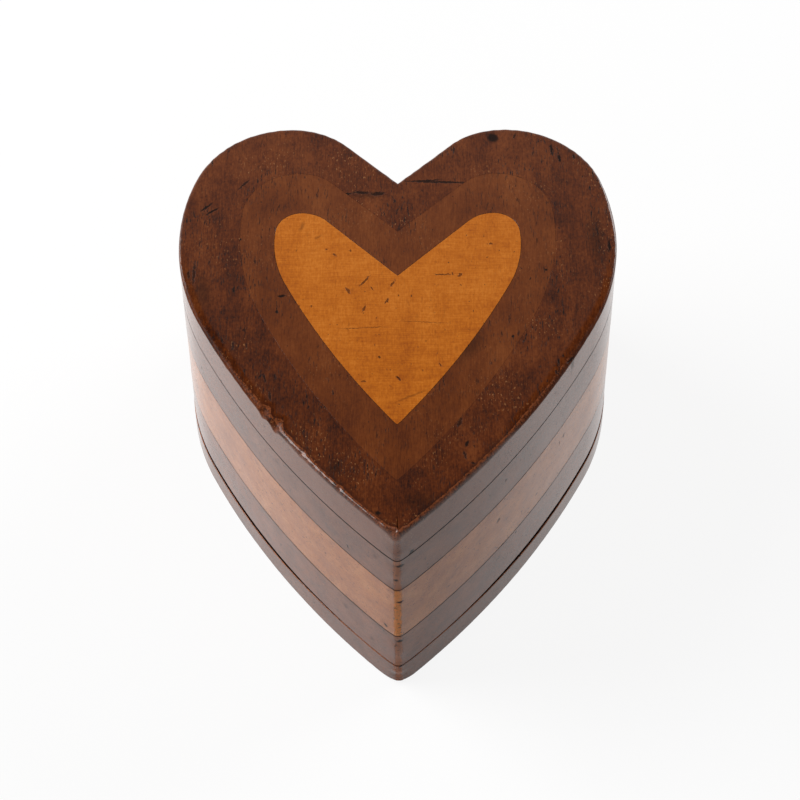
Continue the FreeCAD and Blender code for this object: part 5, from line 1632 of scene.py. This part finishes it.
@dataclass
class Hinges:
    """Seats of the hinge leaves in the two boards that they join.

    Attributes:
        play: Room round a leaf.
        reach: How far from the joint the points of a leaf lie.
    """

    play: float = 0.02 * MM
    reach: float = 1.2 * MM

    def seats(self, level: float, side: int) -> list[Object]:
        """Boxes that cut the leaves' seats.

        Args:
            level: Level of the joint between lid and case.
            side: 1 for the lid above the joint, -1 for the case below it.

        Returns:
            One cutter for each leaf.
        """
        node = frame["nodes"]["hinge_leaves_lid" if side > 0 else "hinge_leaves_case"]
        places = points_of(node.data)
        inside = places[places[:, 1] < LOBE_LINE]
        flat = inside[np.abs(inside[:, 2] - level) < self.reach]
        cutters = []
        for hand in (-1, 1):
            leaf = flat[flat[:, 0] * hand > 0]
            low, high = leaf.min(axis=0), leaf.max(axis=0)
            thick = max(high[2] - level, level - low[2])
            ends = sorted((level - side * MM, level + side * (thick + self.play)))
            cutters.append(brick("leaf_seat", (low[0] - self.play, low[1] - self.play, ends[0]),
                                 (high[0] + self.play, LOBE_LINE + MM, ends[1])))
        return cutters


@dataclass(frozen=True)
class Screw:
    """One screw, read off the frame.

    Attributes:
        middle: Where its axis stands.
        head: Radius of its head.
        shank: Radius of its shank.
        face: Level of its face.
        seat: Level where the head ends.
        end: Level where the shank ends.
    """

    middle: tuple[float, float]
    head: float
    shank: float
    face: float
    seat: float
    end: float


@dataclass
class Fasteners:
    """The slotted screws under the base and their round seats.

    Attributes:
        nodes: The nodes that hold them.
        play: Room round a head.
        pitch: No two screws stand closer than this.
        slack: Points closer than this in height lie on one level.
        slot_width: Width of a screw's slot.
        slot_depth: Its depth.
        slot_reach: Half its length, in radii of the head.
        rim_band: Radii of the head that the points of its rim lie between.
        dome: Rise of the head's face.
        dome_shares: Where the rows of the face lie, in radii of the head.
        bevel: Depth of the head's edge, in rises of the face.
        tip: Radius of the shank's end, as a share.
        sides: Points round a screw.
        seed: Seed of the slots' turns.
    """

    nodes: tuple[str, ...] = ("base_screws", "movement_screws")
    play: float = 0.1 * MM
    pitch: float = 8.0 * MM
    slack: float = 0.01 * MM
    slot_width: float = 0.9 * MM
    slot_depth: float = 1.0 * MM
    slot_reach: float = 1.2
    rim_band: tuple[float, float] = (0.95, 1.05)
    dome: float = 0.4 * MM
    dome_shares: tuple[float, ...] = (0.3, 0.6, 0.85, 0.97)
    bevel: float = 1.3
    tip: float = 0.5
    sides: int = 48
    seed: int = 4

    def read(self, node: str) -> list[Screw]:
        """Find a node's screws: each stands where points of the lowest level lie close together.

        Args:
            node: The node.

        Returns:
            The screws.
        """
        places = points_of(frame["nodes"][node].data)
        face = places[:, 2].min()
        rest = places[places[:, 2] < face + self.slack]
        found = []
        while len(rest):
            near = np.hypot(*(rest[:, :2] - rest[0, :2]).T) < self.pitch
            middle = (rest[near, :2].min(axis=0) + rest[near, :2].max(axis=0)) / 2
            reach = np.hypot(*(places[:, :2] - middle).T)
            head = np.hypot(*(rest[near, :2] - middle).T).max()
            own = reach < self.rim_band[1] * head
            seat = places[own & (reach > self.rim_band[0] * head), 2].max()
            end = places[own, 2].max()
            shank = reach[own & (places[:, 2] > end - self.slack)].max()
            found.append(Screw(tuple(middle), head, shank, face, seat, end))
            rest = rest[~near]
        return found

    def seats(self) -> list[Object]:
        """Cutters for the round seats of all screws."""
        return [tube("screw_seat", screw.middle, screw.head + self.play, Span(screw.face - 2 * MM, screw.seat),
                     sides=40) for node in self.nodes for screw in self.read(node)]

    def screw(self, screw: Screw, turn: float) -> Object:
        """One slotted screw: a profile of radius over level, spun round its axis, less a narrow slot.

        The face is a dome, whose level rises with the square of the radius.

        Args:
            screw: Its sizes.
            turn: The slot's turn, in radians.

        Returns:
            The screw.
        """
        ring = circle(self.sides)
        shares = np.array(self.dome_shares)
        radii = [*(shares * screw.head), screw.head, screw.head, screw.shank, screw.shank, self.tip * screw.shank]
        levels = [*(screw.face + self.dome * shares ** 2), screw.face + self.bevel * self.dome, screw.seat, screw.seat,
                  screw.end - screw.shank, screw.end]
        made = skin("screw", [lifted(ring * radius + screw.middle, level) for radius, level in zip(radii, levels)])
        along, across = np.array([np.cos(turn), np.sin(turn)]), np.array([-np.sin(turn), np.cos(turn)])
        reach, half = along * self.slot_reach * screw.head, across * self.slot_width / 2
        slot = np.array([-reach - half, reach - half, reach + half, half - reach]) + screw.middle
        carve(made, [post("slot", slot, Span(screw.face - MM, screw.face + self.slot_depth))])
        return made

    def build(self) -> None:
        """Build and dress the screws, with their slots turned at random."""
        finish = STEEL.material()
        turns = np.random.default_rng(self.seed)
        for node in self.nodes:
            screws = [self.screw(screw, turns.uniform(0, np.pi)) for screw in self.read(node)]
            hand_over(joined(f"{node}_slotted", screws), finish, "case", [node])


# The lid

@dataclass
class Lid:
    """Lid board with its two inlaid hearts.

    Attributes:
        top: Its worn top edge, with the bites out of it.
        bottom: Its lower edge.
        inlay_depth: Depth of the inlays.
        lining_thickness: Depth of the lining's seat.
        hair: Radius of the inlays' softened edges.
        glue_line: Width of the dark glue line round an inlay.
        band_glue: How dark it is on the edge of the band and beside it.
        heart_glue: The same for the pale heart.
        back_rubbed: Share of the top edge's rubbing that its back shows.
        rim_stain: Strength of the stain that runs in from the top edge.
        rim_reach: How far that stain runs in.
        rim_shares: Where the rows of the top lie between its edge and the inlays.
    """

    top: Edge = Edge(0.95 * MM, 0.4 * MM, 5, 7, grime=0.0, rim=1.0, rubbed=0.75, handled=0.55 * MM, chips=(
        Chip(-57.2, -20.7, 2.2, 0.6), Chip(-44.4, -40.0, 3.4, 1.7), Chip(-39.9, -45.2, 4.2, 2.2),
        Chip(-19.0, -70.9, 1.8, 0.5), Chip(-31.5, -57.2, 2.4, 0.6), Chip(24.0, -67.0, 2.0, 0.4),
        Chip(-1.0, -88.3, 4.6, 1.3), Chip(3.5, -87.0, 2.2, 0.7),
    ))
    bottom: Edge = Edge(0.2 * MM, 0.07 * MM, 9, grime=0.8)
    inlay_depth: float = 3.0 * MM
    lining_thickness: float = 1.0 * MM
    hair: float = 0.05 * MM
    glue_line: float = 0.28 * MM
    band_glue: tuple[float, float] = (0.6, 0.5)
    heart_glue: tuple[float, float] = (0.9, 0.8)
    back_rubbed: float = 0.2
    rim_stain: float = 0.95
    rim_reach: float = 1.8 * MM
    rim_shares: tuple[float, ...] = (0.03, 0.06, 0.1, 0.15, 0.22, 0.35, 0.6, 0.85, 1.0)

    def board(self) -> Object:
        """The lid board: pocket floor, top, worn edge, side, underside and the lining's seat, as one skin.

        Returns:
            The board.
        """
        span = level_of("lid_board")
        board = WornBoard()
        side = board.side(span, self.top, self.bottom)
        pocket, _ = BAND_CUT.trace()
        lining, _ = CASE_CUT.trace(LINING_INSET, CAVITY_NOSE)
        lip, _ = CASE_CUT.trace(LIP_INSET)
        hub = hub_of(pocket)
        rows = layer(shrunk(lining, hub, (0.25, 0.6, 1.0)), span.low + self.lining_thickness)
        rows += layer((lining, lip), span.low) + side
        crest = side[-1].points[:, :2]
        for row in side[-self.top.steps:]:
            row.rubbed = row.rubbed * (self.back_rubbed + (1 - self.back_rubbed) * frontness(crest))
        for share in self.rim_shares:
            reach = np.hypot(*((pocket - crest) * share).T)
            rows.append(Row(lifted(crest + (pocket - crest) * share, span.high),
                            rim=self.rim_stain * np.exp(-(reach / self.rim_reach) ** 2)))
        rows += layer(shrunk(pocket, hub, (1.0, 0.5, 0.2)), span.high - self.inlay_depth)
        made = board.assemble("lid_board_wood", rows)
        carve(made, Hinges().seats(span.low, 1))
        return made

    def band(self) -> Object:
        """The middle heart: a flat ring between the two inlaid outlines, with its edges a hair softened.

        Returns:
            The inlay.
        """
        span = level_of("lid_band_inlay")
        outer, outward = BAND_CUT.trace()
        inner, inward = PALE_CUT.trace()
        start, end = outer + outward * self.hair, inner - inward * self.hair
        near = outer + outward * self.glue_line
        rows = layer((outer,), span.low) + layer((outer,), span.high - self.hair, grime=self.band_glue[0])
        rows += layer((start,), span.high, grime=self.band_glue[1])
        rows += layer((near + (end - near) * share for share in (0.0, 0.25, 0.5, 0.75, 1.0)), span.high)
        rows += layer((inner,), span.high - self.hair) + layer((inner,), span.low)
        return WornBoard(bare_reach=0.0).assemble("lid_band_wood", rows, loop=True)

    def heart(self) -> Object:
        """The pale heart: a flat plate with its edge a hair softened.

        Returns:
            The inlay.
        """
        span = level_of("lid_heart_inlay")
        outline, inward = PALE_CUT.trace()
        hub = hub_of(outline)
        near = outline + inward * self.glue_line
        rows = layer(shrunk(outline, hub, (0.3, 1.0)), span.low)
        rows += layer((outline,), span.high - self.hair, grime=self.heart_glue[0])
        rows += layer((outline + inward * self.hair,), span.high, grime=self.heart_glue[1])
        rows += layer(shrunk(near, hub, (1.0, 0.8, 0.6, 0.4, 0.2)), span.high)
        return WornBoard(bare_reach=0.0).assemble("lid_heart_wood", rows)

    def build(self) -> None:
        """Build and dress the lid."""
        level = level_of("lid_board").high
        hand_over(self.board(), DARK_WOOD.material(level, DARK_SCARS), "lid", ["lid_board"])
        hand_over(self.band(), BAND_WOOD.material(level, BAND_SCARS), "lid", ["lid_band_inlay"])
        hand_over(self.heart(), PALE_WOOD.material(level, PALE_SCARS), "lid", ["lid_heart_inlay"])


# The soft pieces

@dataclass
class Linings:
    """Felt in the tray, felt in the lid and the brake's felt pad.

    Attributes:
        play: Room between the panel and the wall.
        nap: Radius of the soft edge.
        rebate: Width of the rebate that holds the glass.
        rebate_play: Room round the glass.
        guide_hole: Radius of the hole round the plunger's guide.
        pad_power: Power of the pad's superellipse.
        pad_face: Share of its width that its faces keep.
        pad_grid: Points round the pad and up it.
        upright: A face whose normal rises more than this is flat; not used.
    """

    play: float = 0.3 * MM
    nap: float = 0.35 * MM
    rebate: float = 3.0 * MM
    rebate_play: float = 0.2 * MM
    guide_hole: float = 3.3 * MM
    pad_power: float = 7.0
    pad_face: float = 0.82
    pad_grid: tuple[int, int] = (72, 11)
    upright: float = 0.9

    def soft_rows(self, outline: Array, inward: Array, *steps: tuple[float, float]) -> list[Array]:
        """Rows of a soft edge, each set in by a share of the nap at a level."""
        return [lifted(outline + inward * share * self.nap, level) for share, level in steps]

    def tray(self) -> Object:
        """The tray's felt: a heart with a square window, as one looped skin with a soft edge.

        The window's outline has one point for each of the heart's, on the same ray from its middle.

        Returns:
            The felt.
        """
        span = level_of("panel_felt")
        outline, inward = CASE_CUT.trace(WALL + self.play, CAVITY_NOSE)
        middle, half = footprint("panel_glass")
        rays = outline - middle
        reach = np.max(np.abs(rays) / (half - (self.rebate + self.rebate_play)), axis=1)
        window = middle + rays / reach[:, None]
        rows = self.soft_rows(outline, inward, (0.5, span.low), (0.0, (span.low + span.high) / 2),
                              (0.3, span.high - 0.3 * self.nap), (1.0, span.high))
        start = rows[-1][:, :2]
        rows += [lifted(start + (window - start) * share, span.high) for share in (0.3, 0.6, 0.97)]
        rows += [lifted(window, span.high - self.nap), lifted(window, span.low)]
        made = skin("tray_felt", rows, loop=True)
        carve(made, [tube("guide_hole", footprint("plunger_guide")[0], self.guide_hole, span.beyond(), sides=40)])
        return made

    def lid(self) -> Object:
        """The lid's lining: a heart-shaped cloth with a soft lower edge and a hole for the striker.

        Returns:
            The felt.
        """
        span = level_of("lid_lining")
        outline, inward = CASE_CUT.trace(LINING_INSET, CAVITY_NOSE)
        hub = hub_of(outline)
        rows = [lifted(row, span.high) for row in shrunk(outline, hub, (0.3, 0.7))]
        rows += self.soft_rows(outline, inward, (0.0, span.high), (0.0, span.low + self.nap),
                               (0.3, span.low + 0.3 * self.nap), (1.0, span.low))
        inner = rows[-1][:, :2]
        rows += [lifted(row, span.low) for row in shrunk(inner, hub, (0.8, 0.5, 0.2))]
        made = skin("lid_felt", rows)
        middle, half = footprint("stop_striker")
        carve(made, [tube("striker_hole", middle, half[0], span.beyond(), sides=48)])
        return made

    def pad(self) -> Object:
        """The brake's pad: a rounded block, the superellipse |x|^p + |y|^p = 1 carried up a softened profile.

        Returns:
            The pad.
        """
        span = level_of("brake_pad")
        middle, half = footprint("brake_pad")
        around = circle(self.pad_grid[0])
        ring = np.sign(around) * np.abs(around) ** (2.0 / self.pad_power)
        rise = np.linspace(-np.pi / 2, np.pi / 2, self.pad_grid[1])
        widths = self.pad_face + (1 - self.pad_face) * np.abs(np.cos(rise)) ** 0.5
        levels = (span.low + span.high) / 2 + (span.high - span.low) / 2 * np.sin(rise)
        return skin("brake_felt", [lifted(middle + ring * half * width, level)
                                   for width, level in zip(widths, levels)])

    def build(self) -> None:
        finish = WINE_FELT.material()
        tray, lid, pad = self.tray(), self.lid(), self.pad()
        hand_over(tray, finish, "case", ["panel_felt"])
        hand_over(lid, finish, "lid", ["lid_lining"])
        hand_over(pad, finish, "lever", ["brake_pad"])
        for piece, rest in ((tray, "inner_panel"), (lid, "lid_board")):
            self._declare(piece)

    def _declare(self, piece: Object) -> None:
        """Read the face areas and normals of a laid cloth; nothing is done with them.

        Args:
            piece: The cloth.
        """
        mesh = piece.data
        areas = np.empty(len(mesh.polygons), np.float32)
        normals = np.empty(len(mesh.polygons) * 3, np.float32)
        mesh.polygons.foreach_get("area", areas)
        mesh.polygons.foreach_get("normal", normals)


# The carried-over nodes

@dataclass
class Works:
    """The metal, glass and plain wooden nodes that keep the frame's shapes."""

    finishes: dict[str, object] = field(default_factory=lambda: {
        "brass": BRASS, "steel": STEEL, "cast_iron": CAST_IRON, "lead": LEAD, "glass": WINDOW_GLASS,
        "panel_wood": PANEL_WOOD})

    def build(self) -> None:
        """Give each node the finish of its slot."""
        made = {slot: finish.material() for slot, finish in self.finishes.items()}
        for part in frame["record"]["subparts"]:
            node, slot = part["node"], part["material_slot"]
            if slot not in made:
                continue
            for holder in frame["nodes"][node].material_slots:
                holder.material = made[slot]
            LOG.info("%s: finished as %s", node, slot)


# The studio

@dataclass(frozen=True)
class Lamp:
    """A soft square lamp aimed at the box.

    Attributes:
        name: Name of the lamp.
        place: Where it stands.
        size: Length of its side.
        power: Its power in watts.
        aim: Point that it is turned to.
    """

    name: str
    place: tuple[float, float, float]
    size: float
    power: float
    aim: tuple[float, float, float] = (0.0, 0.0, 0.05)

    def build(self) -> None:
        """Put the lamp into the scene."""
        data = bpy.data.lights.new(self.name, "AREA")
        data.shape = "SQUARE"
        data.size, data.energy = self.size, self.power
        made = linked(self.name, data)
        made.location = self.place
        made.rotation_mode = "QUATERNION"
        made.rotation_quaternion = (Vector(self.aim) - Vector(self.place)).to_track_quat("-Z", "Y")


@dataclass
class Studio:
    """Floor, light and camera.

    Attributes:
        elevation: Camera's angle above the table, in degrees.
        azimuth: Camera's turn round the box, in degrees.
        roll: Camera's roll, in degrees.
        distance: From the camera to the aim.
        focal: Focal length in widths of the picture.
        aim: Point that the camera looks at.
        sensor: Width of its sensor, in millimetres.
        clip: Nearest and furthest distance that it sees.
        ambient: Even light from all round.
        walls: Brightness of walls and ceiling in reflections, by the height of the ray's direction.
        underlight: Light from below the floor, which only the underside can see.
        under_fade: Height of the ray's direction where that light begins and where it is full.
        lamps: The lamps.
        floor_level: Height of the floor, just under the base.
        floor_inset: How far its opening lies inside the case's outline.
        floor_hub: y that its rays start from.
        floor_radii: Radii of its outer rows.
        floor_grey: Its shade in direct light and in light that has bounced.
        white: How white it shows beside the box, and what the distance adds.
        white_fade: Distances where that begins and where it is full.
        mirrored: How bright the varnish mirrors it before the box, and what its sides add.
        mirrored_fade: y where that begins and where it is full.
    """

    elevation: float = 54.0
    azimuth: float = -0.564
    roll: float = -0.575
    distance: float = 1007.0 * MM
    focal: float = 2885.6 / 800
    aim: tuple[float, float, float] = (0.593 * MM, -1.008 * MM, 45.77 * MM)
    sensor: float = 36.0
    clip: tuple[float, float] = (0.05, 50.0)
    ambient: float = 0.11
    walls: tuple[tuple[float, float], ...] = ((0.0, 1.0), (0.35, 0.57), (0.7, 0.42), (0.77, 0.25), (0.81, 0.1),
                                              (0.86, 0.02), (0.91, 0.05), (0.965, 0.6))
    underlight: float = 0.6
    under_fade: tuple[float, float] = (-0.02, -0.1)
    lamps: tuple[Lamp, ...] = (Lamp("key", (-1.35, 0.4, 1.0), 1.4, 39.0), Lamp("fill", (1.35, 1.1, 0.8), 1.2, 23.0))
    floor_level: float = -0.05 * MM
    floor_inset: float = 2.0 * MM
    floor_hub: float = 10 * MM
    floor_radii: tuple[float, ...] = (0.3, 1.0, 4.0)
    floor_grey: tuple[float, float] = (0.94, 0.5)
    white: tuple[float, float] = (0.88, 0.12)
    white_fade: tuple[float, float] = (0.5, 2.0)
    mirrored: tuple[float, float] = (0.38, 0.25)
    mirrored_fade: tuple[float, float] = (-0.085, 0.0)

    def camera(self) -> None:
        """Place the camera: it looks from in front and above, at the photograph's angle."""
        up, turn = math.radians(self.elevation), math.radians(self.azimuth)
        forward = Vector((math.sin(turn) * math.cos(up), math.cos(turn) * math.cos(up), -math.sin(up)))
        data = bpy.data.cameras.new("camera")
        data.sensor_width = self.sensor
        data.lens = self.focal * self.sensor
        data.clip_start, data.clip_end = self.clip
        made = linked("camera", data)
        level = forward.to_track_quat("-Z", "Y").to_matrix().to_4x4()
        roll = Matrix.Rotation(math.radians(self.roll), 4, "Z")
        made.matrix_world = Matrix.Translation(Vector(self.aim) - forward * self.distance) @ level @ roll
        bpy.context.scene.camera = made

    def floor(self) -> None:
        """A round pale floor that shows white and keeps a soft shadow.

        It is open under the box, so that light from below reaches the underside: rows run from the
        outline of the case out to three circles.
        """
        inner, _ = CASE_CUT.trace(self.floor_inset)
        rays = inner - [0.0, self.floor_hub]
        rays = rays / np.hypot(*rays.T)[:, None]
        rows = [lifted(row, self.floor_level) for row in (inner, *(rays * radius for radius in self.floor_radii))]
        mesh = bpy.data.meshes.new("floor")
        mesh.from_pydata(np.concatenate(rows), [], grid_faces(len(rows), len(inner), False))
        if mesh.polygons[0].normal.z < 0:
            mesh.flip_normals()
        made = linked("floor", mesh)
        paint = Paint("floor")
        direct, bounced = ((grey,) * 3 for grey in self.floor_grey)
        grey = paint.mix(paint.path("Is Diffuse Ray"), direct, bounced)
        paint.dress(Base_Color=grey, Roughness=0.9, Specular_IOR_Level=0.1)
        far = paint.ellipse(paint.place, (0.0, 0.0, 0.0), (1.0, 1.0, 1.0), 0.0).step(*self.white_fade)
        seen = paint.path("Is Camera Ray") * (self.white[0] + far * self.white[1])
        beside = paint.axes(paint.place)[1].step(*self.mirrored_fade)
        mirrored = paint.path("Is Glossy Ray").most(paint.path("Is Transmission Ray"))
        mirrored = mirrored * (self.mirrored[0] + beside * self.mirrored[1])
        white = paint.node("ShaderNodeEmission", None, {"Color": (1.0, 1.0, 1.0), "Strength": 1.0})
        top = paint.shared(seen.most(mirrored), paint.shader, white)
        below = Value(paint, paint.node("ShaderNodeNewGeometry").outputs["Backfacing"])
        paint.show(paint.shared(below, top, paint.node("ShaderNodeBsdfTransparent")))
        mesh.materials.append(paint.owner)

    def world(self) -> None:
        """A white backdrop, mirrored as white walls under a dim ceiling, and an even light all round."""
        paint = Paint("studio", world=True)
        _, _, z = paint.axes(paint.node("ShaderNodeTexCoord").outputs["Generated"])
        walls = Value(paint, paint.ramp(z, [(height, (share,) * 3) for height, share in self.walls]))
        even = self.ambient + z.step(*self.under_fade) * self.underlight
        seen = paint.path("Is Camera Ray")
        mirrored = paint.path("Is Glossy Ray").most(paint.path("Is Transmission Ray"))
        strength = seen + (1.0 - seen) * (mirrored * walls + (1.0 - mirrored) * even)
        paint.show(paint.node("ShaderNodeBackground", None, {"Color": (1.0, 1.0, 1.0), "Strength": strength}))
        bpy.context.scene.world = paint.owner

    def build(self) -> None:
        """Set up the whole studio."""
        bpy.context.scene.view_settings.view_transform = "Standard"
        self.floor()
        self.world()
        for lamp in self.lamps:
            lamp.build()
        self.camera()


def main() -> None:
    """Build every sub-assembly, then the studio."""
    logging.basicConfig(level=logging.INFO, format="%(message)s")
    for part in (Works(), CaseStack(), Fasteners(), Lid(), Linings(), Studio()):
        LOG.info("building %s", type(part).__name__)
        part.build()


if __name__ == "__main__":
    main()
